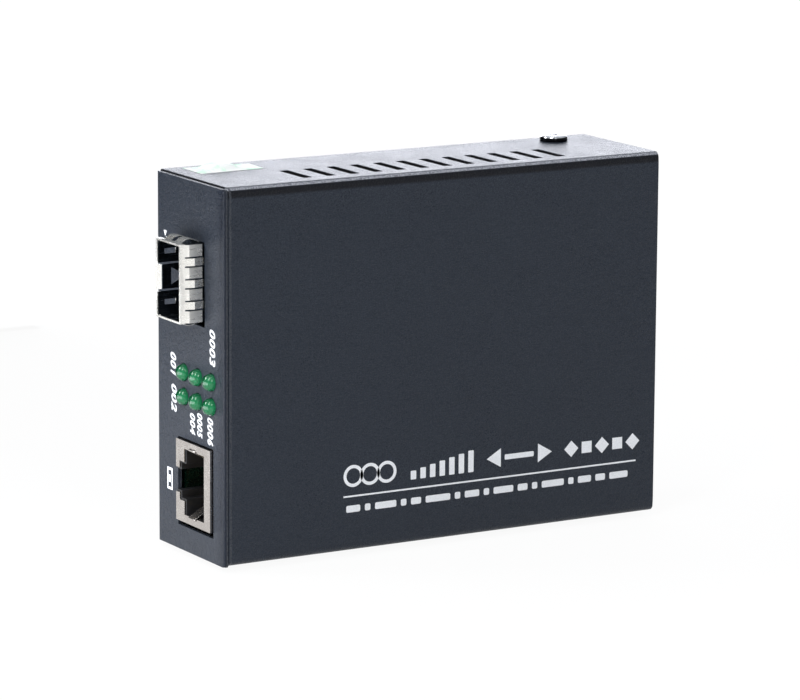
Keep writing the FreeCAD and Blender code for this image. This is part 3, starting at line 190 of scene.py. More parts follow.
def edit_all(piece):
    """Edit mode with the whole piece chosen."""
    choose(piece)
    bpy.ops.object.mode_set(mode="EDIT")
    bpy.ops.mesh.select_all(action="SELECT")


def extrude(*step):
    """Extrudes what is chosen by a step along X, Y and Z."""
    bpy.ops.mesh.extrude_region_move(TRANSFORM_OT_translate={"value": step})


def turn_outwards():
    """Makes every face of the piece in edit mode point outwards."""
    bpy.ops.mesh.select_all(action="SELECT")
    bpy.ops.mesh.normals_make_consistent(inside=False)


def done():
    bpy.ops.object.mode_set(mode="OBJECT")


def joined(pieces, name):
    bpy.ops.object.select_all(action="DESELECT")
    for piece in pieces:
        piece.select_set(True)
    bpy.context.view_layer.objects.active = pieces[0]
    bpy.ops.object.join()
    return newest(name)


def rounded_edges(piece, width):
    """Breaks the sharp edges as paint, moulding or a punch leaves them, with flat faces kept flat."""
    bevel = piece.modifiers.new("edges", "BEVEL")
    bevel.width = width
    bevel.segments = EDGE_STEPS
    bevel.limit_method = "ANGLE"
    bevel.angle_limit = SMOOTH_ANGLE
    bevel.use_clamp_overlap = False
    bevel.miter_outer = "MITER_ARC"
    apply_all(piece)
    bpy.ops.object.shade_smooth_by_angle(angle=SMOOTH_ANGLE)
    weights = piece.modifiers.new("flats", "WEIGHTED_NORMAL")
    weights.keep_sharp = True
    apply_all(piece)


def keep_in_box(piece, node):
    """Brings any point that a rounded edge has carried past the node's box back onto it."""
    low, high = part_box(node)
    for point in piece.data.vertices:
        point.co = [min(max(value, least), most) for value, least, most in zip(point.co, low, high)]


def soften(piece, wanted, width, segments=4):
    """Rounds only the edges whose two ends are both wanted, more than the others."""
    choose(piece)
    bpy.ops.object.mode_set(mode="EDIT")
    bpy.ops.mesh.select_mode(type="EDGE")
    bpy.ops.mesh.select_all(action="DESELECT")
    bpy.ops.object.mode_set(mode="OBJECT")
    points = piece.data.vertices
    for edge in piece.data.edges:
        edge.select = all(wanted(points[end].co) for end in edge.vertices)
    bpy.ops.object.mode_set(mode="EDIT")
    bpy.ops.mesh.bevel(offset=width, segments=segments, affect="EDGES", clamp_overlap=False,
                       loop_slide=False)
    done()


def merged_copy(node, name, whole_faces=True):
    """Copy of a CAD node with its points merged, and its triangles too where whole faces are wanted."""
    piece = bpy.data.objects.new(name, frame["nodes"][node].data.copy())
    bpy.context.scene.collection.objects.link(piece)
    piece.data.name = name
    edit_all(piece)
    bpy.ops.mesh.remove_doubles(threshold=SAME_POINT)
    if whole_faces:
        bpy.ops.mesh.dissolve_limited(angle_limit=SAME_FACE)
    done()
    return piece


# Materials

class Finish:
    """A material under way: its nodes, and short ways to add the usual ones."""

    def __init__(self, name):
        self.made = bpy.data.materials.new(name)
        self.made.use_nodes = True
        self.nodes = self.made.node_tree.nodes
        self.links = self.made.node_tree.links
        self.shader = self.nodes["Principled BSDF"]
        self.place = self.nodes.new("ShaderNodeTexCoord").outputs["Object"]

    def stretched(self, scale):
        mapping = self.nodes.new("ShaderNodeMapping")
        mapping.inputs["Scale"].default_value = scale
        self.links.new(self.place, mapping.inputs["Vector"])
        return mapping.outputs["Vector"]

    def noise(self, size, detail=2.0, rough=0.5, scale=(1, 1, 1)):
        """Cloudy pattern whose marks are about as large as size."""
        node = self.nodes.new("ShaderNodeTexNoise")
        node.inputs["Scale"].default_value = 1 / size
        node.inputs["Detail"].default_value = detail
        node.inputs["Roughness"].default_value = rough
        self.links.new(self.stretched(scale), node.inputs["Vector"])
        return node.outputs["Fac"]

    def cells(self, size):
        node = self.nodes.new("ShaderNodeTexVoronoi")
        node.inputs["Scale"].default_value = 1 / size
        self.links.new(self.place, node.inputs["Vector"])
        return node.outputs["Distance"]

    def spread(self, value, low, high, start=0.3, end=0.7):
        """Turns the pattern's middle range into low to high."""
        node = self.nodes.new("ShaderNodeMapRange")
        node.inputs["From Min"].default_value = start
        node.inputs["From Max"].default_value = end
        node.inputs["To Min"].default_value = low
        node.inputs["To Max"].default_value = high
        self.links.new(value, node.inputs["Value"])
        return node.outputs["Result"]

    def tint(self, factor, first, second):
        node = self.nodes.new("ShaderNodeMix")
        node.data_type = "RGBA"
        self.links.new(factor, node.inputs["Factor"])
        colours = [socket for socket in node.inputs if socket.type == "RGBA"]
        for socket, colour in zip(colours, (first, second)):
            if isinstance(colour, bpy.types.NodeSocket):
                self.links.new(colour, socket)
            else:
                socket.default_value = (*colour, 1)
        return [socket for socket in node.outputs if socket.type == "RGBA"][0]

    def times(self, first, second):
        node = self.nodes.new("ShaderNodeMath")
        node.operation = "MULTIPLY"
        self.links.new(first, node.inputs[0])
        self.links.new(second, node.inputs[1])
        return node.outputs["Value"]

    def strip(self, axis, start, end, fade):
        """1 between two places on an axis, falling to 0 past them."""
        node = self.nodes.new("ShaderNodeSeparateXYZ")
        self.links.new(self.place, node.inputs[0])
        place = node.outputs[axis]
        return self.times(self.spread(place, 0, 1, start - fade, start),
                          self.spread(place, 1, 0, end, end + fade))

    def add(self, first, second, share):
        """First pattern plus a share of the second."""
        node = self.nodes.new("ShaderNodeMath")
        node.operation = "MULTIPLY_ADD"
        self.links.new(second, node.inputs[0])
        node.inputs[1].default_value = share
        self.links.new(first, node.inputs[2])
        return node.outputs["Value"]

    def colour(self, value):
        self.links.new(value, self.shader.inputs["Base Color"])

    def roughness(self, value):
        self.links.new(value, self.shader.inputs["Roughness"])

    def relief(self, height, depth):
        node = self.nodes.new("ShaderNodeBump")
        node.inputs["Distance"].default_value = depth
        self.links.new(height, node.inputs["Height"])
        self.links.new(node.outputs["Normal"], self.shader.inputs["Normal"])

    def fixed(self, **values):
        """Values that are the same all over, on the shader's own sockets."""
        for name, value in values.items():
            self.shader.inputs[name.replace("_", " ")].default_value = value


def powder_coat(name="powder_coat", highlights=(), thick=(), shaded_openings=(), gloss=0.24):
    """Dark blue-grey powder coat: orange peel under a fine grain, with a soft gloss.

    Of the strips given, the first set are painted highlights, sparkling with the grain, and the
    second set painted shade, each with its colour. The last two strips overlap on the openings'
    walls, painted near black as shade and made matt.
    """
    finish = Finish(name)
    grain = finish.noise(0.22 * MM, 3.0, 0.6)
    peel = finish.noise(0.9 * MM, 1.5)
    cloud = finish.noise(9 * MM, 3.0)
    specks = finish.noise(0.34 * MM, 1.0)
    base = finish.tint(finish.spread(cloud, 0, 1), (0.0110, 0.0160, 0.0260),
                       (0.0130, 0.0185, 0.0290))
    base = finish.tint(finish.spread(grain, 0, 0.7, 0.4, 0.7), base, (0.038, 0.045, 0.060))
    rough = finish.spread(finish.add(grain, cloud, 0.5), 0.26, 0.44, 0.5, 1.0)
    # Painted shade: each of these strips darkens the coat to its colour
    for strip, shade in thick:
        base = finish.tint(finish.strip(*strip), base, shade)
    # Painted highlight: each of these strips lightens the coat to its colour, sparkling with the grain
    for strip, light in highlights:
        painted_glint = finish.times(finish.strip(*strip), finish.spread(grain, 0.25, 1, 0.42, 0.56))
        base = finish.tint(painted_glint, base, light)
    # Painted shade: where the two strips overlap, the openings' walls are painted near black and made
    # rougher
    if shaded_openings:
        inside = finish.times(*(finish.strip(*strip) for strip in shaded_openings))
        base = finish.tint(inside, base, (0.002, 0.002, 0.003))
        rough = finish.add(rough, inside, 0.5)
    finish.colour(base)
    finish.roughness(rough)
    pinholes = finish.spread(specks, 0, 1, 0.56, 0.68)
    finish.relief(finish.add(finish.add(grain, peel, 1.2), pinholes, -0.6), 0.10 * MM)
    finish.fixed(Specular_IOR_Level=gloss)
    return finish.made


def sheet_metal(name, dark, light, rough_low, rough_high, shine=1.0, marks=()):
    """Plated sheet: fine rolling lines one way, faint clouding, and small pits.

    marks lists the strips painted in a colour of their own, here painted highlights and painted shade,
    each as its strip and that colour.
    """
    finish = Finish(name)
    lines = finish.noise(0.35 * MM, 3.0, 0.6, (1, 0.06, 1))
    cloud = finish.noise(2.6 * MM, 3.0)
    pits = finish.noise(0.12 * MM, 2.0)
    base = finish.tint(finish.spread(finish.add(cloud, lines, 0.4), 0, 1, 0.5, 0.9), dark, light)
    # Painted highlights and painted shade, one strip at a time
    for strip, colour in marks:
        base = finish.tint(finish.strip(*strip), base, colour)
    finish.colour(base)
    drawn = finish.add(lines, cloud, 0.5)
    finish.roughness(finish.spread(drawn, rough_low, rough_high, 0.55, 0.95))
    finish.relief(finish.add(lines, pits, 0.4), 0.003 * MM)
    finish.fixed(Metallic=shine)
    return finish.made


def moulded_plastic(name, dark, light, rough_low=0.38, rough_high=0.55):
    """Moulded plastic: a fine spark texture and slight flow clouding."""
    finish = Finish(name)
    spark = finish.noise(0.15 * MM, 3.0, 0.6)
    flow = finish.noise(4 * MM, 2.0, 0.5, (1, 0.4, 1))
    cloud = finish.spread(finish.add(flow, spark, 0.3), 0, 1, 0.4, 0.8)
    finish.colour(finish.tint(cloud, dark, light))
    finish.roughness(finish.spread(spark, rough_low, rough_high))
    finish.relief(spark, 0.008 * MM)
    return finish.made


def tinted_epoxy():
    """Green lens resin with slightly uneven polish, in painted shade that turns to a painted highlight
    toward +X.
    """
    finish = Finish("tinted_epoxy")
    haze = finish.noise(1.6 * MM, 1.0)
    fine = finish.noise(0.4 * MM, 1.0)
    ways = finish.nodes.new("ShaderNodeSeparateXYZ")
    finish.links.new(finish.nodes["Texture Coordinate"].outputs["Normal"], ways.inputs[0])
    # Painted light: the green goes from painted shade to a painted highlight as the face turns toward +X
    side = finish.spread(ways.outputs["X"], 0, 1, -0.1, 1.0)
    deep = finish.tint(finish.spread(haze, 0, 1), (0.002, 0.070, 0.026), (0.003, 0.085, 0.032))
    finish.colour(finish.tint(side, deep, (0.022, 0.32, 0.12)))
    finish.roughness(finish.spread(fine, 0.03, 0.06))
    finish.relief(fine, 0.0002 * MM)
    finish.fixed(Transmission_Weight=0.40, IOR=1.48, Coat_Weight=0.15, Coat_Roughness=0.02)
    return finish.made


def resin_core():
    """Milky green resin inside each light."""
    finish = Finish("resin_core")
    haze = finish.noise(0.5 * MM, 3.0)
    finish.colour(finish.tint(finish.spread(haze, 0, 1), (0.012, 0.22, 0.07), (0.02, 0.30, 0.10)))
    finish.roughness(finish.spread(haze, 0.4, 0.6))
    return finish.made


def seal_paper():
    """White sticker with faint mint printing and a little fibre."""
    finish = Finish("seal_paper")
    patch = finish.noise(2.4 * MM, 1.0, 0.4, (1, 0.7, 1))
    weave = finish.noise(0.5 * MM, 1.0, 0.5, (0.35, 1.6, 1))
    fibre = finish.noise(0.12 * MM, 3.0)
    mint = finish.spread(finish.add(patch, weave, 0.5), 0, 1, 0.74, 0.95)
    base = finish.tint(finish.spread(fibre, 0, 1), (0.74, 0.755, 0.745), (0.80, 0.81, 0.795))
    finish.colour(finish.tint(mint, base, (0.56, 0.78, 0.64)))
    finish.roughness(finish.spread(fibre, 0.72, 0.90))
    finish.relief(fibre, 0.004 * MM)
    finish.fixed(Specular_IOR_Level=0.15)
    return finish.made


def print_ink():
    """White screen ink with soft thin spots."""
    finish = Finish("print_ink")
    thin = finish.noise(0.25 * MM, 3.0, 0.65)
    finish.colour(finish.tint(finish.spread(thin, 0, 1), (0.70, 0.71, 0.74), (0.86, 0.87, 0.89)))
    finish.roughness(finish.spread(thin, 0.45, 0.6))
    finish.relief(thin, 0.004 * MM)
    return finish.made


def board_mask():
    """Green solder mask over faint copper tracks."""
    finish = Finish("board_mask")
    tracks = finish.cells(1.6 * MM)
    fine = finish.noise(0.3 * MM, 2.0)
    between = finish.spread(tracks, 0, 1, 0.35, 0.45)
    finish.colour(finish.tint(between, (0.001, 0.005, 0.003), (0.001, 0.009, 0.005)))
    finish.roughness(finish.spread(fine, 0.2, 0.32))
    finish.relief(tracks, 0.01 * MM)
    return finish.made


def make_finishes():
    """One finish for each material slot of the record."""
    metals = {
        "screw_steel": ("screw_plating", (0.50, 0.50, 0.51), (0.66, 0.66, 0.67), 0.16, 0.30),
        "spring_steel": ("spring_sheet", (0.93, 0.91, 0.86), (0.98, 0.965, 0.92), 0.24, 0.34, 0.85),
        "shield_tin": ("shield_sheet", (0.47, 0.437, 0.414), (0.55, 0.52, 0.49), 0.20, 0.30),
        "contact_gold": ("contact_plating", (0.72, 0.50, 0.20), (0.90, 0.70, 0.36), 0.16, 0.30),
        "lead_tin": ("solder_tin", (0.52, 0.52, 0.52), (0.68, 0.68, 0.68), 0.26, 0.44),
        "can_aluminium": ("can_aluminium", (0.66, 0.66, 0.68), (0.80, 0.80, 0.81), 0.2, 0.34),
    }
    mouldings = {
        "black_plastic": ("black_moulding", (0.006, 0.006, 0.007), (0.014, 0.014, 0.016)),
        "chip_epoxy": ("chip_epoxy", (0.012, 0.012, 0.013), (0.026, 0.026, 0.028)),
        "ferrite": ("ferrite", (0.03, 0.03, 0.033), (0.06, 0.06, 0.065), 0.5, 0.7),
        "resistor_ceramic": ("chip_glaze", (0.02, 0.02, 0.022), (0.04, 0.04, 0.045), 0.2, 0.3),
        "capacitor_ceramic": ("chip_ceramic", (0.36, 0.25, 0.15), (0.46, 0.33, 0.21), 0.4, 0.6),
    }
    return {
        "case_paint": powder_coat(),
        "led_green": tinted_epoxy(),
        "board_mask": board_mask(),
        "seal_paper": seal_paper(),
        **{slot: sheet_metal(*look) for slot, look in metals.items()},
        **{slot: moulded_plastic(*look) for slot, look in mouldings.items()},
    }


def own_finishes():
    """Finishes of single pieces.

    The coat of the two sheets has a painted highlight along the cover's upper bend and on the arrises at
    the front, and painted shade under that bend, toward the front panel's +X edge and on the walls of
    the cover's openings. The cage's tin is painted dark as shade inside its mouth, with painted
    highlights of bright tin on its rim and lip, and the screws have painted shade under their heads.
    """
    low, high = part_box("cover")
    # Painted highlight in a band along the cover's upper bend, sparkling with the grain
    fold = (("Z", high.z - 0.50 * MM, high.z - 0.22 * MM, 0.10 * MM), (0.40, 0.41, 0.46))
    # Painted shade in a band just under that bend
    under = (("Z", high.z - 1.7 * MM, high.z - 0.75 * MM, 0.45 * MM), (0.0030, 0.0040, 0.0075))
    # Painted highlight on the cover's front arris
    front = (("Y", low.y + 0.30 * MM, low.y + 0.60 * MM, 0.15 * MM), ARRIS_HIGHLIGHT)
    # Painted shade on the walls of the openings in the cover's upper side
    vent_shade = (("Z", high.z - 1.2 * SHEET, high.z - 0.12 * MM, 0.04 * MM),
             ("X", low.x - SHEET, high.x - 1.5 * MM, 0.1 * MM))
    low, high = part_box("chassis")
    # Painted highlight on the edges of the front panel, near their back by the seam
    side = (("Y", low.y + 0.50 * MM, low.y + 0.70 * MM, 0.12 * MM), ARRIS_HIGHLIGHT)
    # Painted shade on the front panel, deepening toward its +X edge
    edge = (("X", high.x - 0.9 * MM, high.x + SHEET, 2.4 * MM), (0.0060, 0.0100, 0.0200))
    low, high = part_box("sfp_cage")
    lip_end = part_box("sfp_gasket")[0].x + LIP_REACH
    # Painted highlights in bright tin on the cage's front rim and on its lip at -X
    rim = (("Y", low.y - SHEET, low.y + 0.30 * MM, 0.1 * MM), TIN_HIGHLIGHT)
    lip = (("X", low.x - SHEET, lip_end, 0.02 * MM), TIN_HIGHLIGHT)
    low, high, middle = box_of("case_screws")
    # Painted shade on the screws below their heads
    under_head_shade = (("Z", middle.z, high.z - 0.42 * MM, 0.06 * MM), (0.03, 0.03, 0.033))
    return {
        "cover": powder_coat("cover_coat", (fold, front), (under,), vent_shade),
        "chassis": powder_coat("chassis_coat", (side,), (edge,), gloss=0.28),
        # The cage's tin is painted dark as the shade inside its mouth
        "sfp_cage": sheet_metal("cage_tin", (0.15, 0.18, 0.22), (0.24, 0.27, 0.31), 0.18, 0.28,
                                marks=(rim, lip)),
        "case_screws": sheet_metal("screw_zinc", (0.58, 0.58, 0.60), (0.74, 0.74, 0.76), 0.14, 0.22,
                                   marks=(under_head_shade,)),
    }


FINISHES = make_finishes()
OWN_FINISHES = own_finishes()
CORE_FINISH = resin_core()
INK_FINISH = print_ink()


def coat(piece, finish):
    """Gives a new piece its one material and the body that it moves with."""
    piece.data.materials.clear()
    piece.data.materials.append(finish)
    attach(piece, "root")


def coat_nodes():
    """Every CAD node gets the material of its own slot."""
    slots = {part["node"]: part["material_slot"] for part in frame["record"]["subparts"]}
    for name, node in frame["nodes"].items():
        node.data.materials.clear()
        node.data.materials.append(FINISHES[slots[name]])


# Sheets, mouldings and screws

def chassis_sheet():
    """Painted chassis. The outline of its front panel is rounded as thick paint leaves it."""
    piece = merged_copy("chassis", "chassis_sheet")
    low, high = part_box("chassis")

    def on_outline(co):
        at_end = co.z > high.z - PANEL_CORNER or co.z < low.z + PANEL_CORNER
        outer = co.x > high.x - TINY or at_end
        return outer and co.y < low.y + TINY and co.x > low.x + 2 * PANEL_CORNER

    soften(piece, on_outline, PANEL_ARRIS, 6)
    return piece, THIN_EDGE


def crown_face(piece, face, centre, flat):
    """Draws the large face in a little toward both folds, as a folded sheet springs."""
    for side in (-1, 1):
        for step in range(CROWN_STEPS):
            level = centre + side * (flat - CROWN_REACH * (1 - step / CROWN_STEPS))
            edit_all(piece)
            bpy.ops.mesh.bisect(plane_co=(0, 0, level), plane_no=(0, 0, 1))
            done()
    for point in piece.data.vertices:
        along = (abs(point.co.z - centre) - flat + CROWN_REACH) / CROWN_REACH
        if along > 0 and point.co.x > face - COVER_BEND - TINY:
            point.co.x -= CROWN * min(along, 1) ** 2


def cover_sheet():
    """Painted cover with a soft front arris, a hair thinner at its large face to leave room for ink."""
    piece = merged_copy("cover", "cover_sheet")
    low, high, middle = box_of("cover")
    share = (high.x - low.x - PRINT_STEP) / (high.x - low.x)
    edit_all(piece)
    bpy.ops.transform.resize(value=(share, 1, 1), center_override=low)
    done()
    face = high.x - PRINT_STEP
    crown_face(piece, face, middle.z, high.z - middle.z - COVER_BEND)
    inward = 0.6 * SHEET
    bend = Vector((face - COVER_BEND, 0, high.z - COVER_BEND))

    def on_arris(co):
        height = abs(co.z - middle.z) + middle.z
        flat = co.x > face - inward or height > high.z - inward
        turn = math.hypot(co.x - bend.x, height - bend.z) > COVER_BEND - inward
        return co.y < low.y + TINY and (flat or (turn and co.x > bend.x and height > bend.z))

    soften(piece, on_arris, PAINTED_ARRIS)
    return piece, SHEET_EDGE


def sink_sealed_screw(piece):
    """Sets the head of the front screw lower, where the seal covers and presses it."""
    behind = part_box("case_screws")[0].y + 2 * HEAD_RADIUS + TINY
    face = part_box("seal_label")[0].z
    for point in piece.data.vertices:
        if point.co.y < behind and point.co.z > face:
            point.co.z = face + (point.co.z - face) * HEAD_LIFT


def finish_metalwork():
    """Rounded-edge copies of the pieces that show."""
    edges = {
        "case_screws": ("case_screw_set", THIN_EDGE, "screw_steel"),
        "sfp_cage": ("cage_sheet", THIN_EDGE, "spring_steel"),
        "sfp_gasket": ("gasket_sheet", THIN_EDGE / 2, "spring_steel"),
        "rj45_shield": ("shield_sheet", THIN_EDGE, "shield_tin"),
        "rj45_insert": ("socket_moulding", MOULD_EDGE, "black_plastic"),
        "rj45_contacts": ("socket_springs", THIN_EDGE, "contact_gold"),
        "led_holder": ("light_stand", MOULD_EDGE, "black_plastic"),
        "inlet_body": ("inlet_moulding", MOULD_EDGE, "black_plastic"),
        "inlet_pin": ("inlet_centre_pin", THIN_EDGE, "screw_steel"),
    }
    pieces = {"chassis": (*chassis_sheet(), "case_paint"), "cover": (*cover_sheet(), "case_paint")}
    for node, (name, width, slot) in edges.items():
        pieces[node] = (merged_copy(node, name, slot != "spring_steel"), width, slot)
    sink_sealed_screw(pieces["case_screws"][0])
    for node, (piece, width, slot) in pieces.items():
        rounded_edges(piece, width)
        keep_in_box(piece, node)
        coat(piece, OWN_FINISHES.get(node, FINISHES[slot]))
        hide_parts(node)


# Lights

def open_dome(name, radius, sides):
    """Half ball that looks along -Y, left in edit mode with its open edge chosen."""
    bpy.ops.mesh.primitive_uv_sphere_add(segments=sides, ring_count=sides // 2, radius=radius,
                                         rotation=(math.pi / 2, 0, 0))
    dome = newest(name)
    apply_place(dome)
    pick_points(dome, lambda co: co.y > LEVEL)
    bpy.ops.mesh.delete(type="VERT")
    done()
    pick_points(dome, lambda co: abs(co.y) < LEVEL)
    return dome


def close_back(piece, shift, width):
    """Closes the chosen edge with a flat back, moves the piece back along Y and rounds its edges."""
    bpy.ops.mesh.edge_face_add()
    turn_outwards()
    bpy.ops.transform.translate(value=(0, shift, 0))
    done()
    rounded_edges(piece, width)


def lens_shape():
    """Lens with its tip at the origin, looking along -Y: dome, barrel and rim."""
    low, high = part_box("led_1")
    barrel = high.y - low.y - LENS_RADIUS - LENS_RIM
    grow = (high.x - low.x) / 2 / LENS_RADIUS
    lens = open_dome("lens", LENS_RADIUS, LENS_SIDES)
    extrude(0, barrel, 0)
    extrude(0, 0, 0)
    bpy.ops.transform.resize(value=(grow, 1, grow))
    extrude(0, LENS_RIM, 0)
    close_back(lens, LENS_RADIUS, LENS_EDGE)
    return lens


def core_shape():
    """Milky core inside a lens, a little smaller than its barrel."""
    core = open_dome("core", CORE_RADIUS, CORE_SIDES)
    extrude(0, CORE_LENGTH, 0)
    close_back(core, CORE_PLACE, CORE_EDGE)
    return core


def place_copy(shape, name, place):
    """Copy of a shape with its own mesh, moved to its place."""
    piece = bpy.data.objects.new(name, shape.data.copy())
    bpy.context.scene.collection.objects.link(piece)
    piece.location = place
    bpy.context.view_layer.update()
    apply_place(piece)
    return piece


def make_lights():
    """Six lenses, each with its core, at the places of the CAD lights."""
    lens, core = lens_shape(), core_shape()
    for number in range(1, 7):
        node = f"led_{number}"
        low, _, middle = box_of(node)
        tip = Vector((middle.x, low.y, middle.z))
        piece = place_copy(lens, f"light_{number}_lens", tip)
        coat(piece, FINISHES["led_green"])
        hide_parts(node)
        coat(place_copy(core, f"light_{number}_core", tip), CORE_FINISH)
    bpy.data.objects.remove(lens)
    bpy.data.objects.remove(core)


# Print: plain shapes in white ink, drawn flat with X as the reading direction and Y as up

def ink_bar(x, y, length, height, corner=0.0):
    bpy.ops.mesh.primitive_plane_add(size=1, location=(x + length / 2, y + height / 2, 0))
    bar = newest("bar")
    bar.scale = (length, height, 1)
    apply_place(bar)
    if corner:
        edit_all(bar)
        bpy.ops.mesh.bevel(offset=corner, segments=5, affect="VERTICES")
        done()
    return bar


def ink_ring(x, y, size, line):
    """Ring that starts at x and stands on y."""
    bpy.ops.mesh.primitive_circle_add(vertices=48, radius=size / 2, fill_type="NGON",
                                      location=(x + size / 2, y + size / 2, 0))
    ring = newest("ring")
    apply_place(ring)
    edit_all(ring)
    bpy.ops.mesh.inset(thickness=line)
    bpy.ops.mesh.delete(type="FACE")
    done()
    return ring


def ink_polygon(x, y, size, corners, turn):
    """Filled triangle or square, turned about its middle."""
    bpy.ops.mesh.primitive_circle_add(vertices=corners, radius=size / 2, fill_type="NGON",
                                      location=(x + size / 2, y + size / 2, 0), rotation=(0, 0, turn))
    polygon = newest("polygon")
    apply_place(polygon)
    return polygon


def ink_number(x, y, text, length, height):
    """Slanted number drawn up to the given length and height."""
    bpy.ops.object.text_add(location=(0, 0, 0))
    digits = newest("digits")
    digits.data.body = text
    digits.data.size = height * NUMBER_EM
    digits.data.shear = NUMBER_SLANT
    digits.data.offset = INK_SWELL * height
    digits.data.space_character = NUMBER_SPACING
    choose(digits)
    bpy.ops.object.convert(target="MESH")
    number = newest("number")
    starts, ends = (pick(point.co.x for point in number.data.vertices) for pick in (min, max))
    number.scale = (length / (ends - starts), 1, 1)
    apply_place(number)
    number.location = (x - min(point.co.x for point in number.data.vertices), y, 0)
    apply_place(number)
    return number


def lay_print(shapes, name, place, reading, up):
    """Joins the flat shapes, gives them their thickness and lays them on a face of the case."""
    flat = joined(shapes, name)
    edit_all(flat)
    bpy.ops.mesh.remove_doubles(threshold=SAME_INK_POINT)
    extrude(0, 0, PRINT_STEP)
    turn_outwards()
    done()
    out = reading.cross(up)
    flat.matrix_world = Matrix.Translation(place) @ Matrix((reading, up, out)).transposed().to_4x4()
    apply_place(flat)
    coat(flat, INK_FINISH)


def spot(from_left, from_top):
    """Place on the front panel, whose print reads downwards, from two distances in millimetres."""
    return from_top * MM, from_left * MM


def socket_sign():
    """Frame with a bar in it, for the socket."""
    x, y = spot(4.1, 55.4)
    length, line = 4.2 * MM, 0.4 * MM
    clear, side = 1.3 * MM, 0.5 * MM
    return [ink_bar(x, y, length, line),
            ink_bar(x, y + line + clear, length, line),
            ink_bar(x, y + line, side, clear),
            ink_bar(x + length - side, y + line, side, clear),
            ink_bar(x + 1.4 * MM, y + 0.6 * MM, 1.4 * MM, 0.8 * MM, 0.1 * MM)]


def bay_sign():
    """Two triangles turned against each other, for the SFP bay."""
    x, y = spot(2.9, 10.3)
    size, turn = 1.5 * MM, math.radians(30)
    return [ink_polygon(x, y, size, 3, turn),
            ink_polygon(x + 1.4 * MM, y + 0.4 * MM, size, 3, -turn)]


def print_front():
    """Front panel: a number at each light, and a sign at the socket and at the SFP bay."""
    low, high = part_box("chassis")
    # Each from the left, from the top, its text, length and height
    numbers = (
        (21.1, 26.4, "0003", 6.8, 2.1), (5.7, 33.2, "001", 4.3, 2.1), (6.0, 39.2, "002", 5.2, 2.0),
        (16.2, 42.9, "0005", 4.6, 1.9), (20.2, 43.0, "0006", 5.2, 2.1), (13.4, 43.4, "004", 4.0, 1.9))
    marks = [ink_number(*spot(from_left, from_top), text, length * MM, height * MM)
             for from_left, from_top, text, length, height in numbers]
    corner = Vector((low.x, low.y, high.z))
    lay_print(marks + socket_sign() + bay_sign(), "front_print", corner, Vector((0, 0, -1)),
              Vector((1, 0, 0)))


def sign_row(foot, tall):
    """Rings, bars that grow, an arrow with two heads, and squares on a side or a corner in turn."""
    bar, bar_pitch = 1.2 * MM, 2.1 * MM
    square, square_pitch = 3.2 * MM, 3.5 * MM
    marks = [ink_ring(i * 3.6 * MM, foot, tall, 0.62 * MM) for i in range(3)]
    for i in range(7):
        marks.append(ink_bar(14.5 * MM + i * bar_pitch, foot, bar, tall * (0.4 + 0.1 * i), 0.15 * MM))
    marks.append(ink_polygon(31.2 * MM, foot, tall, 3, math.radians(90)))
    marks.append(ink_bar(35.2 * MM, foot + tall * 0.38, 6.5 * MM, tall * 0.24, 0.2 * MM))
    marks.append(ink_polygon(41.6 * MM, foot, tall, 3, math.radians(-90)))
    for i in range(5):
        turn = math.radians(45 * (i % 2))
        marks.append(ink_polygon(48.6 * MM + i * square_pitch, foot + 0.5 * MM, square, 4, turn))
    return marks


def dash_row(foot, tall, gap):
    """Dashes of uneven length, as a line of small print seen from afar."""
    dashes = (3.0, 1.2, 4.6, 1.2, 2.2, 5.4, 1.2, 3.2, 1.2, 4.4, 2.2, 1.2, 5.0, 1.2, 3.0, 2.2, 4.2)
    along = 0.6 * MM
    marks = []
    for dash in dashes:
        marks.append(ink_bar(along, foot, dash * MM, tall, 0.3 * MM))
        along += dash * MM + gap
    return marks


def print_face():
    """Large face: a row of plain signs over a thin rule, and a finer row under it."""
    low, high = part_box("cover")
    start = Vector((high.x - PRINT_STEP, low.y + 24.2 * MM, low.z))
    marks = sign_row(12.2 * MM, 4.2 * MM)
    marks.append(ink_bar(0, 10.3 * MM, 65 * MM, 0.32 * MM))
    marks += dash_row(7.4 * MM, 1.3 * MM, 1.0 * MM)
    lay_print(marks, "face_print", start, Vector((0, 1, 0)), Vector((0, 0, 1)))


# Seal

def eased(value, start, end):
    """0 before start and 1 past end, easing in and out between them."""
    share = min(max((value - start) / (end - start), 0), 1)
    return share * share * (3 - 2 * share)


def make_seal():
    """Thin sticker that lies on the upper side and drapes over the front screw, one edge held down."""
    low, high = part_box("seal_label")
    screws_low, _, screws_middle = box_of("case_screws")
    screw = Vector((screws_middle.x, screws_low.y + HEAD_RADIUS))
    bpy.ops.mesh.primitive_plane_add(size=1, location=(0.5, 0.5, 0))
    seal = newest("seal_sheet")
    apply_place(seal)
    span = high - low
    for point in seal.data.vertices:
        across, along = SEAL_CORNERS[round(point.co.x), round(point.co.y)]
        point.co = (low.x + across * span.x, low.y + along * span.y, low.z)
    edit_all(seal)
    bpy.ops.mesh.subdivide(number_cuts=SEAL_CUTS)
    done()
    lift = SEAL_LIFT * (span.z - SEAL_THICKNESS)
    for point in seal.data.vertices:
        fall = eased((point.co.xy - screw).length, DRAPE_FLAT, DRAPE_REACH)
        point.co.z += lift * (1 - fall) * eased(point.co.x - low.x, 0, TUCK)
    thick = seal.modifiers.new("thickness", "SOLIDIFY")
    thick.thickness = SEAL_THICKNESS
    thick.offset = 1
    apply_all(seal)
    bpy.ops.object.shade_smooth_by_angle(angle=SMOOTH_ANGLE)
    coat(seal, FINISHES["seal_paper"])
    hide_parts("seal_label")


# Studio

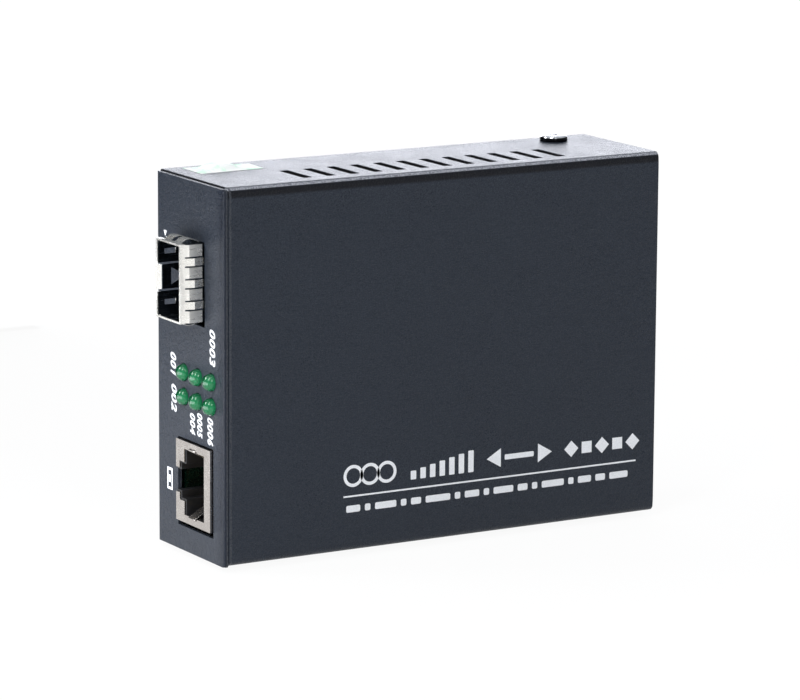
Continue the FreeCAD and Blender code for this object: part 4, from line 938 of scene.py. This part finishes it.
def look_through():
    """Camera at its place, turned by azimuth, elevation and roll, and the Standard view of colour."""
    data = bpy.data.cameras.new("camera")
    data.lens = CAMERA_LENS
    data.sensor_width = 36
    data.sensor_fit = "HORIZONTAL"
    data.clip_start = 0.05
    data.clip_end = 20
    camera = bpy.data.objects.new("camera", data)
    bpy.context.scene.collection.objects.link(camera)
    sine, cosine = math.sin(CAMERA_AZIMUTH), math.cos(CAMERA_AZIMUTH)
    flat = math.cos(CAMERA_ELEVATION)
    back = Vector((sine * flat, -cosine * flat, math.sin(CAMERA_ELEVATION)))
    level = Vector((cosine, sine, 0))
    above = back.cross(level)
    right = level * math.cos(CAMERA_ROLL) + above * math.sin(CAMERA_ROLL)
    up = above * math.cos(CAMERA_ROLL) - level * math.sin(CAMERA_ROLL)
    turn = Matrix((right, up, back)).transposed().to_4x4()
    camera.matrix_world = Matrix.Translation(CAMERA_PLACE) @ turn
    bpy.context.scene.camera = camera
    bpy.context.scene.view_settings.view_transform = "Standard"


def seen_rays(nodes, links):
    """1 for the rays that show the background: straight, mirrored or through glass."""
    path = nodes.new("ShaderNodeLightPath")
    seen = path.outputs["Is Camera Ray"]
    for kind in ("Is Glossy Ray", "Is Transmission Ray"):
        either = nodes.new("ShaderNodeMath")
        either.operation = "MAXIMUM"
        links.new(seen, either.inputs[0])
        links.new(path.outputs[kind], either.inputs[1])
        seen = either.outputs[0]
    return seen


def make_world():
    """Room with dim walls and a bright ceiling, the same for every ray."""
    world = bpy.data.worlds.new("studio")
    bpy.context.scene.world = world
    world.use_nodes = True
    nodes, links = world.node_tree.nodes, world.node_tree.links
    room = nodes["Background"]
    room.inputs["Color"].default_value = (0.90, 0.95, 1.0, 1)
    way = nodes.new("ShaderNodeTexCoord")
    height = nodes.new("ShaderNodeSeparateXYZ")
    rise = nodes.new("ShaderNodeMapRange")
    rise.interpolation_type = "SMOOTHSTEP"
    rise.inputs["From Min"].default_value = 0.05
    rise.inputs["From Max"].default_value = 0.75
    rise.inputs["To Min"].default_value = WALL_LIGHT
    rise.inputs["To Max"].default_value = ROOM_LIGHT
    links.new(way.outputs["Generated"], height.inputs[0])
    links.new(height.outputs["Z"], rise.inputs["Value"])
    links.new(rise.outputs["Result"], room.inputs["Strength"])


def make_floor():
    """Pale floor that shows white, with the object's shadow kept faint on it."""
    bpy.ops.mesh.primitive_plane_add(size=8, location=(0, 0, cad_low.z))
    floor = newest("floor")
    paper = bpy.data.materials.new("floor_paper")
    paper.use_nodes = True
    nodes, links = paper.node_tree.nodes, paper.node_tree.links
    nodes.clear()
    matt = nodes.new("ShaderNodeBsdfDiffuse")
    matt.inputs["Color"].default_value = (0.85, 0.85, 0.85, 1)
    glow = nodes.new("ShaderNodeEmission")
    glow.inputs["Color"].default_value = (1, 1, 1, 1)
    share = nodes.new("ShaderNodeMath")
    share.operation = "MULTIPLY"
    share.inputs[1].default_value = FLOOR_GLOW
    mix = nodes.new("ShaderNodeMixShader")
    output = nodes.new("ShaderNodeOutputMaterial")
    links.new(seen_rays(nodes, links), share.inputs[0])
    links.new(share.outputs[0], mix.inputs[0])
    links.new(matt.outputs[0], mix.inputs[1])
    links.new(glow.outputs[0], mix.inputs[2])
    links.new(mix.outputs[0], output.inputs["Surface"])
    floor.data.materials.append(paper)


def make_flag():
    """Black card that keeps the bright floor at the left out of the upper half of the front panel."""
    bpy.ops.mesh.primitive_cube_add(size=1, location=FLAG_PLACE)
    flag = newest("black_flag")
    flag.scale = FLAG_SIZE
    apply_place(flag)
    cloth = bpy.data.materials.new("flag_cloth")
    cloth.use_nodes = True
    shader = cloth.node_tree.nodes["Principled BSDF"]
    shader.inputs["Base Color"].default_value = (0.015, 0.015, 0.017, 1)
    shader.inputs["Roughness"].default_value = 0.9
    flag.data.materials.append(cloth)
    flag.visible_camera = False


def softbox(name, place, width, height, power, target=LAMP_AIM, colour=(1, 1, 1)):
    """Lamp with a soft face, pointed at its target and not seen itself."""
    data = bpy.data.lights.new(name, "AREA")
    data.shape = "RECTANGLE"
    data.size = width
    data.size_y = height
    data.energy = power
    data.color = colour
    lamp = bpy.data.objects.new(name, data)
    bpy.context.scene.collection.objects.link(lamp)
    lamp.location = place
    lamp.rotation_euler = (Vector(target) - Vector(place)).to_track_quat("-Z", "Y").to_euler()
    lamp.visible_camera = False


def make_lamps():
    """Two tall boxes at the front, a soft fill at the left, a wide one behind and a low one in front."""
    softbox("tall_front", (0.52, -0.83, 1.39), 0.26, 1.1, 12.0)
    softbox("tall_side", (1.34, -0.24, 1.00), 0.16, 0.7, 5.0)
    softbox("left_fill", (-0.70, -1.00, 0.90), 0.6, 0.6, 16.0)
    softbox("wide_back", (-1.02, 0.36, 0.42), 1.5, 0.7, 14.3, colour=(0.90, 0.92, 1.0))
    softbox("low_front", (-0.005, -0.115, 0.006), 0.12, 0.08, 0.14, target=(0, -0.045, 0.014),
            colour=(0.92, 0.95, 1.0))


look_through()
make_world()
make_floor()
make_flag()
make_lamps()
coat_nodes()
finish_metalwork()
make_lights()
make_seal()
print_front()
print_face()
